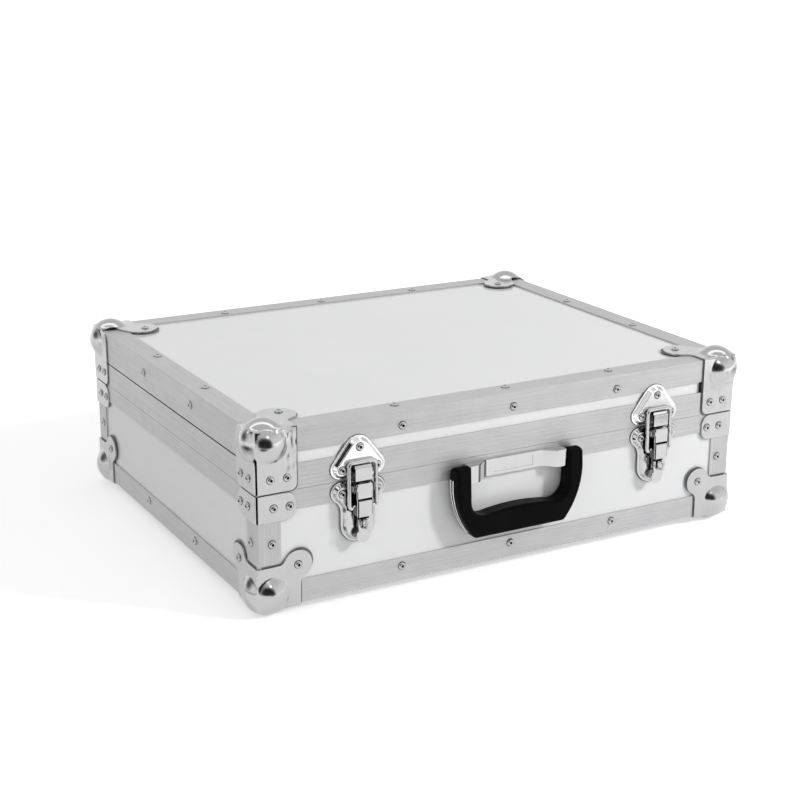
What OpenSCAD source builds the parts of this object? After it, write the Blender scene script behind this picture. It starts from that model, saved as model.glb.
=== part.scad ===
// Hard carrying case for art supplies: laminated panels held in ribbed aluminium
// extrusions, ball corners, two draw latches with padlock staples, a swinging grip and a
// lid on two rear hinges. The case stands on its ball corners; -Y is the latch side.

/* [Case] */
// Outside width over the aluminium, left to right
case_w = 510; // [420:5:620]
// Outside depth over the aluminium, front to back
case_d = 406; // [330:2:480]
// Height of the base over the aluminium, up to the parting line
base_h = 105.3; // [98:0.1:160]
// Height of the lid over the aluminium, from the parting line up
lid_h = 55.5; // [52:0.1:90]
// Gap left between lid and base all round
part_gap = 0.3; // [0.2:0.05:0.6]
// Thickness of the laminated panels
panel_t = 6; // [4:0.5:8]
// Thickness of the foam sheets that line the case
foam_t = 5; // [3:0.5:8]

/* [Extrusions] */
// Wall of every aluminium extrusion
alu_t = 1.5; // [1:0.1:2]
// Leg of the corner angles
angle_leg = 22; // [18:0.5:26]
// Gap between the lid's long-legged side angles and the closing extrusion below them
long_leg_gap = 0.8; // [0.4:0.1:2]
// Grooves in each face of an angle
angle_grooves = 5; // [3:1:6]
// Width of a groove
groove_w = 1.1; // [0.6:0.1:1.6]
// Depth of a groove
groove_d = 0.15; // [0.1:0.05:0.6]
// Height of the closing extrusion on the base
base_rim_h = 17.6; // [15:0.2:20]
// Height of the closing extrusion on the lid
lid_rim_h = 23; // [20:0.2:24]
// Height of the closing ridge that runs round the base
ridge_h = 1.6; // [1:0.1:1.6]
// Half width of the closing ridge at its foot
ridge_half = 2.2; // [1.8:0.1:2.4]

/* [Ball corners] */
// Outer radius of a ball
ball_r = 21; // [19:0.5:23]
// How far the ball's centre lies inside each face
ball_inset = 12.5; // [11:0.5:14]
// Wall of the pressed ball
ball_wall = 1.5; // [1:0.1:1.8]
// Thickness of the pressed corner plates
plate_t = 1.6; // [1.2:0.1:2]
// Reach of a ball corner's legs along the case
corner_leg = 39; // [36:0.5:42]
// Height of a base corner at the case's vertical edge
corner_saddle = 38.5; // [34:0.5:42]
// Place of the lobe's rivet, from both edges
lobe_at = 37; // [34:0.5:40]
// Radius of the lobe round that rivet
lobe_r = 13; // [10:0.5:15]
// Middle of the broad tongue on the top and underside, from both edges
tongue_at = 36.5; // [34:0.5:40]
// Radius of that tongue
tongue_r = 17; // [14:0.5:18]
// Width of a lid corner's two downward legs
lid_leg_w = 37; // [34:0.5:40]
// Gap between a lid corner's downward legs and the parting line
lid_leg_gap = 0.7; // [0.4:0.1:3]
// Open seam between the two legs at the vertical edge
seam = 1; // [0.6:0.1:2]
// Width of the rim clips on the base, along each face
clip_w = 36; // [32:0.5:40]
// Height of the rim clips
clip_h = 25; // [20:0.5:26]
// Radius of the clips' free ends
clip_r = 9; // [5:0.5:10]

/* [Rivets] */
// Radius of a rivet's head
rivet_r = 3.6; // [2.6:0.1:4.2]
// Height of a rivet's head
rivet_h = 1.6; // [1:0.1:2]
// Radius of the hole left by the mandrel
mandrel_r = 1; // [0.6:0.1:1.3]
// Spacing of the rivets along the long edges
rivet_pitch_w = 115; // [90:1:130]
// Distance of the rivets on the short edges from the middle
rivet_side = 60; // [40:1:80]

/* [Latches] */
// Distance of each latch from the end of the case
latch_inset = 95.5; // [75:0.5:135]
// Height of a latch's pressed plates above the aluminium
latch_pan = 5; // [4:0.2:5.6]
// Thickness of the latch's sheet
latch_sheet = 1.5; // [1.2:0.1:1.8]
// Radius of the ears of plate and keeper
ear_r = 9.5; // [8:0.1:10.5]
// Distance of the ears from the latch's middle
ear_x = 17; // [16:0.5:19]
// Radius of the plate's lower lobe
plate_lobe_r = 17; // [15:0.5:18]
// Drop of the lower lobe's middle below the parting line
plate_lobe_drop = 40.8; // [38:0.2:44]
// Radius of the keeper's top
keeper_top_r = 14; // [12:0.5:16]
// Rise of the keeper's top circle above the parting line
keeper_top_rise = 25.7; // [22:0.2:27]
// Radius of the lever's pivot pin
lever_pin_r = 2; // [1.5:0.1:2.4]
// Drop of the lever's pivot below the parting line
lever_drop = 5.3; // [5:0.1:7]
// Distance of the lever's pivot from the front of the aluminium
lever_out = 10; // [9.6:0.1:10.6]
// Length of the lever from pivot to the middle of its thumb tab
lever_len = 43.7; // [41:0.1:46]
// Half width of the lever at its pivot
lever_half = 7.8; // [7:0.1:8]
// Radius of the lever's thumb tab
thumb_r = 6.5; // [5.5:0.1:7]
// Radius of the bail's wire
bail_r = 1.7; // [1.4:0.1:1.8]
// Distance of the bail's pivot from the lever's pivot
bail_drop = 16; // [15:0.1:18]
// Half width of the bail between the middles of its rails
bail_half = 13.1; // [13:0.1:13.6]
// Length of the bail from its pivot to its top bar
bail_len = 36.4; // [35:0.1:38]
// Radius of the padlock eye's hole
eye_hole_r = 3; // [2.4:0.1:3.1]
// Radius of the padlock eye
eye_r = 4.6; // [4.3:0.1:4.8]
// Thickness of the padlock staple
staple_t = 2.6; // [2:0.1:3]

/* [Handle] */
// Half width of the handle's chrome bracket
bracket_half = 52.5; // [48:0.5:56]
// Height of the bracket's strip
bracket_h = 16.5; // [14:0.5:17]
// Reach of the bracket's two lugs from the aluminium
lug_out = 12; // [11:0.2:13]
// Thickness of the bracket's flat pad
pad_t = 2.6; // [2:0.1:4]
// Half width of the grip over its arms
grip_half = 67; // [64:0.5:70]
// Depth of the grip, front to back
grip_d = 17; // [15:0.5:18]
// Drop of the grip's lower edge below its pivot
grip_drop = 60; // [56:0.5:64]
// Height of the grip's bar at its middle
grip_bar = 22; // [18:0.5:24]
// Radius of the grip's curved outer sides
grip_flank_r = 76; // [70:1:85]
// Radius of the grip's pivot pins
grip_pin_r = 2; // [1.5:0.1:2.2]

/* [Hinges] */
// Distance of each hinge from the end of the case
hinge_inset = 105; // [75:1:155]
// Length of a hinge along its pin
hinge_len = 44; // [35:1:60]
// Height of a hinge leaf
leaf_h = 16; // [14:0.5:17]
// Thickness of a hinge leaf
leaf_t = 1.6; // [1.2:0.1:1.8]
// Radius of the hinge knuckles
knuckle_r = 4; // [3.5:0.1:4.4]
// Radius of the hinge pin
hinge_pin_r = 1.5; // [1.2:0.1:2]

/* [Hidden] */

eps = 0.01;                 // overshoot of a cutting tool
fit = 0.05;                 // radial clearance of a pin in a turning part
gap = 0.4;                  // side clearance between parts that turn past each other
round_fn = 48;              // segments of drawn circles
sides = [0, 90, 180, 270];  // front, right, back and left faces, as turns about Z

// Parting line and the levels that follow from it
part_z = base_h;
case_h = base_h + lid_h;
base_top = part_z - part_gap / 2;
lid_low = part_z + part_gap / 2;
wall_in = alu_t + panel_t;              // inner face of the side panels, from outside
rim_in = wall_in + alu_t;               // inner face of the closing extrusions
foam_in = wall_in + foam_t;             // inner face of the lining
base_slot = 6;                          // depth of solid rim below the parting line
base_flange = 12;                       // inner flange of the base rim, from the top
lid_slot = 6;
lid_flange = 13;
ridge_at = alu_t + panel_t / 2 + 0.5;   // middle of the closing ridge, from outside
corner_cut = 5;                         // corner taken off the extrusions inside a ball
post_rivet_in = 8.4;                    // rivets of the corner posts, from the angle's edge
tongue_rivet = tongue_at + 4;           // the tongue's rivet, from both edges
foot_h = ball_r - ball_inset;           // the balls stand this far outside every face
long_leg = lid_h - lid_rim_h - part_gap / 2 - long_leg_gap;
lid_leg_h = lid_h - lid_leg_gap;
clip_top = base_top - 0.6;
sheet_gap = 0.2;                        // joint between neighbouring foam sheets

// Latch levels, measured up from the underside (z) and out from the front (h)
latch_x = case_w / 2 - latch_inset;
ear_z = part_z - 10.3;                  // rivets of the latch plate
keeper_ear_z = part_z + 11.2;           // lower rivets of the keeper
plate_lobe_z = part_z - plate_lobe_drop;
fillet_r = 14;                          // hollow between the plate's ear and lobe
lever_z = part_z - lever_drop;
thumb_z = lever_z - lever_len;
bail_z = lever_z - bail_drop;
bail_out = lever_out - 1;
hook_out = 11;                          // front of the keeper's hook
hook_half = 8;
hook_h = 10;                            // height of the keeper's hook
bar_out = hook_out + bail_r + 0.4;      // the bail's top bar passes in front of the hook
bail_tilt = asin((bar_out - bail_out) / bail_len);
cheek_in = lever_half + gap;            // cheeks that carry the lever's pin
eye_z = thumb_z + 11.7;
eye_out = 15.8;
knee_1 = lever_z - 9;                   // lower edge of the lever's upper facet
knee_2 = lever_z - 25.5;                // lower edge of its second facet
neck_out = lever_out + 0.8;             // front of the lever's neck and thumb tab
neck_half = 5;
lever_t = 1.6;                          // sheet of the lever
barrel_r = 4.4;                         // barrel round the lever's pin
facet_out = lever_out + 5;              // front of the lever's upper facet
facet_step = 1;                         // the lower facet stands this far proud of it
trunnion_r = bail_r - 0.3;              // the bail's ends, turned down where they pivot
trunnion_in = lever_half - 2.6;         // and how close they come to the latch's middle
well_z = bail_z - 6;                    // lower end of the latch plate's well
cheek_r = 4.5;                          // top of the cheeks that carry the lever's pin

// Handle levels
bracket_z = part_z - 20.7;
grip_z = part_z - 12;                   // height of the grip's pivot
grip_back = 1;                          // clearance behind the hanging grip
grip_out = grip_back + grip_d / 2;
arm_in = bracket_half + gap;
pad_half = 31;
label_w = 42;                           // blank recess in the pad
label_h = 9.4;
lug_half = 42;
bracket_wall = 1.4;                     // sheet of the bracket's lugs
pin_reach = 8;                          // depth of the pins in the grip's arms
arm_w = 14;                             // inside width taken by an arm at its foot
grip_edge = 4;                          // radius that softens the grip's edges
crown = 3.2;                            // rise of the grip bar's top edge at its middle
shoulder = grip_z - 9;                  // where the arms' outer sides begin to curve in
trim_at = [grip_back + 1.4, grip_back + 6];
trim_w = 1.7;                           // chrome beads on the arms
trim_bed = 0.8;                         // depth of the beads in the plastic

// Hinge line behind the back face
hinge_out = knuckle_r + gap;
hinge_x = case_w / 2 - hinge_inset;
leaf_clear = knuckle_r + gap;           // the leaves begin this far from the parting line
leaf_rivet_x = hinge_len / 2 - 8;
leaf_rivet_z = leaf_clear + 0.6 * leaf_h;

// The outline box is centred on the origin front to back
front_reach = max(eye_out + eye_r, grip_back + grip_d);
back_reach = max(foot_h, hinge_out + knuckle_r);
case_y = (front_reach - back_reach) / 2;

alu = "#c9c9cb";
white = "#f1f1f1";
chrome = "#dcdde0";
steel = "#b4b5b8";
black = "#161616";

// ---------------------------------------------------------------- placing helpers

// The case, standing on its balls
module stand() translate([0, case_y, foot_h]) children();

function run_of(k) = (k % 180 == 0) ? case_w : case_d;
function reach_of(k) = ((k % 180 == 0) ? case_d : case_w) / 2;

// One side of the case: X runs along it, Y points into the case, Z up
module side(k) rotate([0, 0, k]) translate([0, -reach_of(k), 0]) children();

// A drawing board on that side: X along, Y up, Z out of the case
module face(k, x = 0, z = 0, h = 0) side(k) translate([x, -h, z]) rotate([90, 0, 0]) children();

// A corner of the case: X, Y and Z all point into it
module corner(sx, sy, top = false)
    translate([sx * case_w / 2, sy * case_d / 2, top ? case_h : 0])
        mirror([sx > 0 ? 1 : 0, 0, 0]) mirror([0, sy > 0 ? 1 : 0, 0])
            mirror([0, 0, top ? 1 : 0]) children();

module all_corners(top = false) for (sx = [-1, 1]) for (sy = [-1, 1]) corner(sx, sy, top) children();

// A section drawn in (into the case, up), run along a side with mitred ends
module mitred(k) side(k) intersection() {
    rotate([90, 0, 90]) linear_extrude(run_of(k), center = true) children();
    linear_extrude(case_h) let (half = run_of(k) / 2, t = angle_leg + ball_r)
        polygon([[-half, 0], [half, 0], [half - t, t], [t - half, t]]);
}

// A section drawn in (out of the face, up), run across the face at X
module across(k, x, width) face(k, x) rotate([0, 90, 0])
    linear_extrude(width, center = true) mirror([1, 0]) children();

// ---------------------------------------------------------------- drawing helpers

function arc(c, r, from, to, steps = 12) =
    [for (i = [0:steps]) let (a = from + (to - from) * i / steps) c + r * [cos(a), sin(a)]];

// A stretch of ribbed edge along X with grooves cut to +Y
function ribbed(len, count) = [for (i = [1:count]) let (x = len * i / (count + 1))
    each [[x - groove_w / 2, 0], [x, groove_d], [x + groove_w / 2, 0]]];

function swapped(points) = [for (p = points) [p.y, p.x]];
function flipped(points) = [for (i = [len(points) - 1:-1:0]) points[i]];

// Corner angle with its outer corner at the origin
module angle_section(leg_x, leg_y, grooves_x, grooves_y) polygon(concat(
    [[leg_x, 0]], flipped(ribbed(leg_x, grooves_x)), [[1, 0], [0.3, 0.3], [0, 1]],
    swapped(ribbed(leg_y, grooves_y)),
    [[0, leg_y], [alu_t, leg_y], [alu_t, alu_t], [leg_x, alu_t]]));

// Closing extrusion, drawn upwards from the parting line, where its face is shaped to close
module rim_section(height, slot, flange, grooves, closing) polygon(concat(
    [[0, 0]], swapped(ribbed(height, grooves)),
    [[0, height], [alu_t, height], [alu_t, slot], [wall_in, slot], [wall_in, flange],
     [rim_in, flange], [rim_in, 0]], closing));

// A ridge or groove across the closing face, from inside to outside
function ridge_line(foot, top, height) = [
    [ridge_at + foot, 0], [ridge_at + top, height], [ridge_at - top, height],
    [ridge_at - foot, 0]];

// Two circles joined by their outer tangents
module tangent_pair(c1, r1, c2, r2) {
    d = c2 - c1;
    turn = acos((r1 - r2) / norm(d));
    head = atan2(d.y, d.x);
    translate(c1) circle(r1, $fn = round_fn);
    translate(c2) circle(r2, $fn = round_fn);
    polygon([
        c1 + r1 * [cos(head + turn), sin(head + turn)], c2 + r2 * [cos(head + turn), sin(head + turn)],
        c2 + r2 * [cos(head - turn), sin(head - turn)], c1 + r1 * [cos(head - turn), sin(head - turn)]]);
}

// A plate that runs from a straight edge at X = start to a free end with round corners
module free_end(start, end, low, high, r) {
    translate([start, low]) square([end - r - start, high - low]);
    translate([end - r - eps, low + r]) square([r + eps, high - low - 2 * r]);
    for (y = [low + r, high - r]) translate([end - r, y]) circle(r, $fn = round_fn);
}

module rivet() rotate_extrude($fn = 24) polygon([
    [0, 0], [rivet_r, 0], [rivet_r, rivet_h * 0.25], [rivet_r * 0.8, rivet_h * 0.75],
    [rivet_r * 0.5, rivet_h], [mandrel_r, rivet_h], [mandrel_r, rivet_h * 0.4],
    [0, rivet_h * 0.4]]);

// ---------------------------------------------------------------- panels

module floor_panel(z) stand() color(white) translate([0, 0, z + panel_t / 2])
    cube([case_w - 2 * alu_t, case_d - 2 * alu_t, panel_t], center = true);

// A side panel; the two short ones fit between the long ones
module wall_panel(k, low, high) {
    length = run_of(k) - 2 * (k % 180 == 0 ? alu_t : wall_in);
    stand() color(white) side(k) translate([-length / 2, alu_t, low]) cube([length, panel_t, high - low]);
}

module base_wall(k) wall_panel(k, wall_in, base_top - base_slot);

module lid_wall(k) wall_panel(k, lid_low + lid_slot, case_h - wall_in);

// Foam sheets glued to the inside of base and lid
module base_lining() stand() color(black) {
    foam_bed(wall_in);
    foam_walls(foam_in + sheet_gap, base_top - base_flange - sheet_gap);
}

module lid_lining() stand() color(black) {
    foam_bed(case_h - foam_in);
    foam_walls(lid_low + lid_flange + sheet_gap, case_h - foam_in - sheet_gap);
}

module foam_bed(z) translate([0, 0, z + foam_t / 2])
    cube([case_w - 2 * wall_in, case_d - 2 * wall_in, foam_t], center = true);

module foam_walls(low, high) for (k = sides) {
    length = run_of(k) - 2 * (k % 180 == 0 ? wall_in : foam_in + sheet_gap);
    side(k) translate([-length / 2, wall_in, low]) cube([length, foam_t, high - low]);
}

// ---------------------------------------------------------------- extrusions

// An edge extrusion with its sharp ends cut off inside the balls
module relieved(k, z) difference() {
    children();
    side(k) for (s = [-1, 1]) translate([s * run_of(k) / 2, 0, z]) cube(2 * corner_cut, center = true);
}

module base_edge(k) stand() color(alu) relieved(k, 0) mitred(k)
    angle_section(angle_leg, angle_leg, angle_grooves, angle_grooves);

module lid_edge(k) {
    short_side = k % 180 != 0;
    leg = short_side ? long_leg : angle_leg;
    stand() color(alu) relieved(k, case_h) mitred(k) translate([0, case_h]) mirror([0, 1])
        angle_section(angle_leg, leg, angle_grooves, short_side ? angle_grooves + 3 : angle_grooves);
}

module base_posts() stand() color(alu) all_corners()
    translate([0, 0, angle_leg]) linear_extrude(base_top - base_rim_h - angle_leg)
        angle_section(angle_leg, angle_leg, angle_grooves, angle_grooves);

// The base rim carries a ridge, and the lid rim the groove that closes over it
module base_rim(k) stand() color(alu) mitred(k) translate([0, base_top]) mirror([0, 1])
    rim_section(base_rim_h, base_slot, base_flange, 4,
        ridge_line(ridge_half, ridge_half - ridge_h, -ridge_h));

module lid_rim(k) stand() color(alu) mitred(k) translate([0, lid_low])
    rim_section(lid_rim_h, lid_slot, lid_flange, 5,
        ridge_line(ridge_half + 2 * part_gap, ridge_half - ridge_h + part_gap, ridge_h + part_gap));

// ---------------------------------------------------------------- corners

// Everything outside the case's box near a corner, with the ball's hollow left open
module pressed_corner() difference() {
    union() {
        translate([1, 1, 1] * ball_inset) sphere(ball_r, $fn = 64);
        difference() {
            children();
            translate([1, 1, 1] * (ball_inset - 2 * ball_r)) cube(2 * ball_r);
        }
    }
    translate([1, 1, 1] * ball_inset) sphere(ball_r - ball_wall, $fn = 64);
    difference() {
        cube(3 * corner_leg);
        translate(-[1, 1, 1]) cube(corner_cut + 1);
    }
}

// Outline of a base corner's leg on a face, drawn from the case's corner
module lobed_outline() {
    translate([-plate_t, -plate_t]) square([corner_leg + plate_t, corner_saddle + plate_t]);
    translate([lobe_at, lobe_at]) circle(lobe_r, $fn = round_fn);
    rise = lobe_at - lobe_r * 0.8;
    polygon([[rise - lobe_r, corner_saddle - eps], [rise, corner_saddle + lobe_r * 0.28],
             [lobe_at, lobe_at + lobe_r * 0.6], [lobe_at, corner_saddle - eps]]);
}

// Outline of a corner's leg on the top or underside
module tongue_outline() {
    translate([-plate_t, -plate_t]) square(corner_leg + plate_t);
    translate([tongue_at, tongue_at]) circle(tongue_r, $fn = round_fn);
}

// Plates drawn in (along the face, up) standing on the corner's two upright faces
module on_front_face() rotate([90, 0, 0]) linear_extrude(plate_t) children();
module on_side_face() mirror([1, -1, 0]) on_front_face() children();
module both_faces() {
    children();
    mirror([1, -1, 0]) children();
}
module on_flat_face() translate([0, 0, -plate_t]) linear_extrude(plate_t) children();

module base_corner(sx, sy) stand() color(chrome) corner(sx, sy) pressed_corner() {
    on_front_face() lobed_outline();
    on_side_face() lobed_outline();
    on_flat_face() tongue_outline();
}

module lid_corner(sx, sy) stand() color(chrome) corner(sx, sy, true) pressed_corner() {
    both_faces() on_front_face() {
        translate([seam / 2, -plate_t]) square([lid_leg_w - seam / 2, lid_leg_h / 2]);
        free_end(seam / 2, lid_leg_w, 0, lid_leg_h, 6);
    }
    on_flat_face() tongue_outline();
}

// Angle clips that tie the base rim to the posts
module base_rim_clips() stand() color(chrome) all_corners()
    both_faces() on_front_face() free_end(seam / 2, clip_w, clip_top - clip_h, clip_top, clip_r);

// ---------------------------------------------------------------- rivets

// Rivet heads on a corner's two upright faces, proud of the face by h
module corner_rivet(a, z, h) both_faces() translate([a, -h, z]) rotate([90, 0, 0]) rivet();

// Rivets along an edge angle, on its upright and its flat leg
module edge_rivets(k, z, up) {
    at = k % 180 == 0 ? [-rivet_pitch_w, 0, rivet_pitch_w] : [-rivet_side, rivet_side];
    for (x = at) face(k, x, z + up * angle_leg * 0.65) rivet();
    for (x = at) side(k) translate([x, angle_leg * 0.68, z]) rotate([up > 0 ? 180 : 0, 0, 0]) rivet();
}

module base_rivets() stand() color(steel) {
    for (k = sides) edge_rivets(k, 0, 1);
    all_corners() {
        corner_rivet(angle_leg - post_rivet_in, (corner_saddle + base_top - clip_h) / 2, 0);
        corner_rivet(lobe_at, lobe_at, plate_t);
        for (a = [15, 30]) corner_rivet(a, clip_top - clip_h / 2, plate_t);
        translate([tongue_rivet, tongue_rivet, -plate_t]) rotate([180, 0, 0]) rivet();
    }
    for (s = [-1, 1]) for (e = [-1, 1]) face(0, s * latch_x + e * ear_x, ear_z, latch_pan) rivet();
    for (s = [-1, 1]) for (e = [-1, 1])
        face(180, s * hinge_x + e * leaf_rivet_x, part_z - leaf_rivet_z, leaf_t) rivet();
}

module lid_rivets() stand() color(steel) {
    for (k = sides) edge_rivets(k, case_h, -1);
    all_corners(true) {
        for (a = [12.5, 28]) corner_rivet(a, lid_leg_h - 12, plate_t);
        translate([tongue_rivet, tongue_rivet, -plate_t]) rotate([180, 0, 0]) rivet();
    }
    for (s = [-1, 1]) {
        for (e = [-1, 1]) face(0, s * latch_x + e * ear_x, keeper_ear_z, latch_pan) rivet();
        face(0, s * latch_x, part_z + keeper_top_rise + 4.5, latch_pan) rivet();
        for (e = [-1, 1])
            face(180, s * hinge_x + e * leaf_rivet_x, part_z + leaf_rivet_z, leaf_t) rivet();
    }
}

// ---------------------------------------------------------------- latches

// Right half of the latch plate's outline: lower lobe, hollow side and ear
function half_plate(m) = let (
    reach = plate_lobe_r + fillet_r,
    waist = ear_z - sqrt(pow(ear_r + fillet_r, 2) - pow(reach - ear_x, 2)),
    turn = atan2(ear_z - waist, ear_x - reach)) concat(
        arc([0, plate_lobe_z], plate_lobe_r - m, -90, 0),
        arc([reach, waist], fillet_r + m, 180, turn),
        arc([ear_x, ear_z], ear_r - m, turn - 180, 90));

// Outline of the latch plate, drawn in by a margin
module plate_outline(m = 0) {
    half = half_plate(m);
    polygon(concat(half, [for (i = [len(half) - 1:-1:1]) [-half[i].x, half[i].y]]));
}

module keeper_outline(m = 0) {
    top = [0, part_z + keeper_top_rise];
    ears = [[-ear_x, keeper_ear_z], [ear_x, keeper_ear_z]];
    tangent_pair(top, keeper_top_r - m, ears[0], ear_r - m);
    tangent_pair(top, keeper_top_r - m, ears[1], ear_r - m);
    tangent_pair(ears[0], ear_r - m, ears[1], ear_r - m);
}

// Plate that carries the lever: a raised pan with a well for the lever's two cheeks
module latch_plate(s) stand() color(chrome) {
    floor_t = latch_sheet - 0.1;
    face(0, s * latch_x) difference() {
        union() {
            linear_extrude(latch_sheet) plate_outline();
            linear_extrude(latch_pan) plate_outline(latch_sheet);
        }
        difference() {
            translate([0, 0, -eps]) linear_extrude(latch_pan - latch_sheet)
                plate_outline(2 * latch_sheet);
            well(latch_sheet, -1);
        }
        well(0, floor_t);
    }
    for (e = [-1, 1]) across(0, s * latch_x + e * (cheek_in + latch_sheet / 2), latch_sheet)
        difference() {
            tangent_pair([lever_out, lever_z], cheek_r, [0, lever_z - 2], cheek_r + 0.5);
            translate([-case_h, 0]) square([case_h + floor_t / 2, case_h]);
            translate([lever_out, lever_z]) circle(lever_pin_r, $fn = round_fn);
        }
}

// The well in the latch plate, open at the top, grown by a wall
module well(wall, low) {
    half = cheek_in + latch_sheet + 1 + wall;
    translate([-half, well_z - wall, low]) cube([2 * half, case_h, 2 * latch_pan]);
}

module latch_pins() stand() color(steel) for (s = [-1, 1]) for (e = [-1, 1])
    face(0, s * latch_x, lever_z, lever_out) rotate([0, e * 90, 0]) {
        cylinder(h = cheek_in + latch_sheet, r = lever_pin_r, $fn = round_fn);
        translate([0, 0, cheek_in + latch_sheet]) cylinder(h = 0.7, r = lever_pin_r + 0.9, $fn = round_fn);
    }

// Pressed lever: a barrel on the pin, two stepped facets, a slotted neck and a thumb tab
module latch_lever(s) stand() color(chrome) difference() {
    union() {
        across(0, s * latch_x, 2 * lever_half)
            translate([lever_out, lever_z]) circle(barrel_r, $fn = round_fn);
        across(0, s * latch_x, 2 * lever_half - 1.4) facet_section();
        for (e = [-1, 1]) across(0, s * latch_x + e * (lever_half - lever_t), lever_t) lever_cheek();
        face(0, s * latch_x, 0, neck_out - lever_t) linear_extrude(lever_t) difference() {
            union() {
                translate([-neck_half, thumb_z]) square([2 * neck_half, knee_2 - thumb_z]);
                translate([0, thumb_z]) circle(thumb_r, $fn = round_fn);
            }
            staple_slot();
        }
    }
    across(0, s * latch_x, 3 * lever_half) {
        translate([lever_out, lever_z]) circle(lever_pin_r + fit, $fn = round_fn);
        translate([bail_out, bail_z]) circle(trunnion_r + fit, $fn = round_fn);
    }
}

// Slot in the lever's neck that the padlock staple stands through
module staple_slot() {
    half = staple_t / 2 + gap;
    low = eye_z - eye_r - gap;
    high = eye_z + eye_r + gap;
    translate([-half, low]) square([2 * half, high - low]);
    for (z = [low, high]) translate([0, z]) circle(half, $fn = 24);
}

// Bent sheet seen from the side: two facets, the lower one standing proud of the upper
module facet_section() {
    low_out = facet_out + facet_step;
    back = neck_out - lever_t;
    top = lever_z + barrel_r - 1;
    polygon([
        [facet_out, top], [facet_out, knee_1], [low_out, knee_1 - facet_step],
        [low_out, knee_2], [back, knee_2], [back, knee_2 + lever_t],
        [low_out - lever_t, knee_2 + lever_t], [low_out - lever_t, knee_1 - facet_step + 0.6],
        [facet_out - lever_t, knee_1 + 0.6], [facet_out - lever_t, top]]);
}

module lever_cheek() {
    front = facet_out - 0.4;
    back = bail_out - 3.4;
    low = knee_2 + 1;
    polygon([
        [lever_out - 3, lever_z - 3], [front, lever_z], [front, knee_1],
        [front + facet_step, knee_1 - facet_step], [front + facet_step, low],
        [lever_out - 0.8, low], [back, bail_z - 2.6], [back, bail_z + 2.6]]);
}

// Bail of round wire: turned-in ends in the lever, two rails and a top bar
module latch_bail(s) stand() color(chrome) face(0, s * latch_x, bail_z, bail_out)
    rotate([bail_tilt, 0, 0]) {
        for (e = [-1, 1]) {
            translate([e * bail_half, 0, 0]) sphere(bail_r, $fn = 32);
            translate([e * bail_half, bail_len, 0]) sphere(bail_r, $fn = 32);
            translate([e * bail_half, 0, 0]) rotate([-90, 0, 0])
                cylinder(h = bail_len, r = bail_r, $fn = 32);
            translate([e * trunnion_in, 0, 0]) rotate([0, e * 90, 0])
                cylinder(h = bail_half - trunnion_in, r = trunnion_r, $fn = round_fn);
        }
        translate([-bail_half, bail_len, 0]) rotate([0, 90, 0])
            cylinder(h = 2 * bail_half, r = bail_r, $fn = 32);
    }

// Keeper on the lid: a raised pan with an upturned hook
module latch_keeper(s) stand() color(chrome) {
    face(0, s * latch_x) difference() {
        union() {
            linear_extrude(latch_sheet) keeper_outline();
            linear_extrude(latch_pan) keeper_outline(latch_sheet);
        }
        translate([0, 0, -eps]) linear_extrude(latch_pan - latch_sheet) keeper_outline(2 * latch_sheet);
    }
    low = keeper_ear_z - ear_r + latch_sheet;
    across(0, s * latch_x, 2 * hook_half) polygon([
        [latch_pan - 0.2, low], [hook_out, low], [hook_out, low + hook_h],
        [hook_out - latch_sheet, low + hook_h], [hook_out - latch_sheet, low + latch_sheet],
        [latch_pan - 0.2, low + latch_sheet]]);
}

// Staples that stand through the levers' slots and take a padlock
module padlock_staples() stand() color(chrome) for (s = [-1, 1]) {
    across(0, s * latch_x, staple_t) difference() {
        union() {
            translate([eye_out, eye_z]) circle(eye_r, $fn = round_fn);
            translate([latch_pan, eye_z - eye_r]) square([eye_out - latch_pan, 2 * eye_r]);
        }
        translate([eye_out, eye_z]) circle(eye_hole_r, $fn = round_fn);
    }
    face(0, s * latch_x, eye_z, latch_pan) translate([-4, -eye_r - 1, 0]) cube([8, 2 * eye_r + 2, 1.2]);
}

// ---------------------------------------------------------------- handle

// Pressed strip: a flat pad between two hollow lugs, seen from above
module bracket_outline(m) polygon([
    [m - bracket_half, 0], [m - bracket_half, lug_out - m], [-lug_half - m / 2, lug_out - m],
    [-pad_half - m / 2, pad_t - m], [pad_half + m / 2, pad_t - m],
    [lug_half + m / 2, lug_out - m], [bracket_half - m, lug_out - m], [bracket_half - m, 0]]);

module handle_bracket() stand() color(chrome) face(0, 0, bracket_z) difference() {
    strip(0, bracket_h) bracket_outline(0);
    strip(bracket_wall, bracket_h - 2 * bracket_wall) difference() {
        translate([0, -eps]) bracket_outline(bracket_wall);
        translate([-pad_half - 2, -1]) square([2 * pad_half + 4, lug_out]);
    }
    for (s = [-1, 1]) translate([s * (bracket_half - bracket_wall), grip_z - bracket_z, grip_out])
        rotate([0, s * 90, 0]) translate([0, 0, -eps])
            cylinder(h = 2 * bracket_wall, r = grip_pin_r, $fn = round_fn);
    translate([-label_w / 2, (bracket_h - label_h) / 2, pad_t - 0.5]) cube([label_w, label_h, 1]);
}

// A section drawn in (along the face, out of it), run upwards
module strip(low, height) translate([0, low + height, 0]) rotate([90, 0, 0])
    linear_extrude(height) children();

module handle_pins() stand() color(steel) for (s = [-1, 1])
    face(0, s * (bracket_half - bracket_wall), grip_z, grip_out) rotate([0, s * 90, 0])
        cylinder(h = bracket_wall + gap + pin_reach, r = grip_pin_r, $fn = round_fn);

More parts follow.
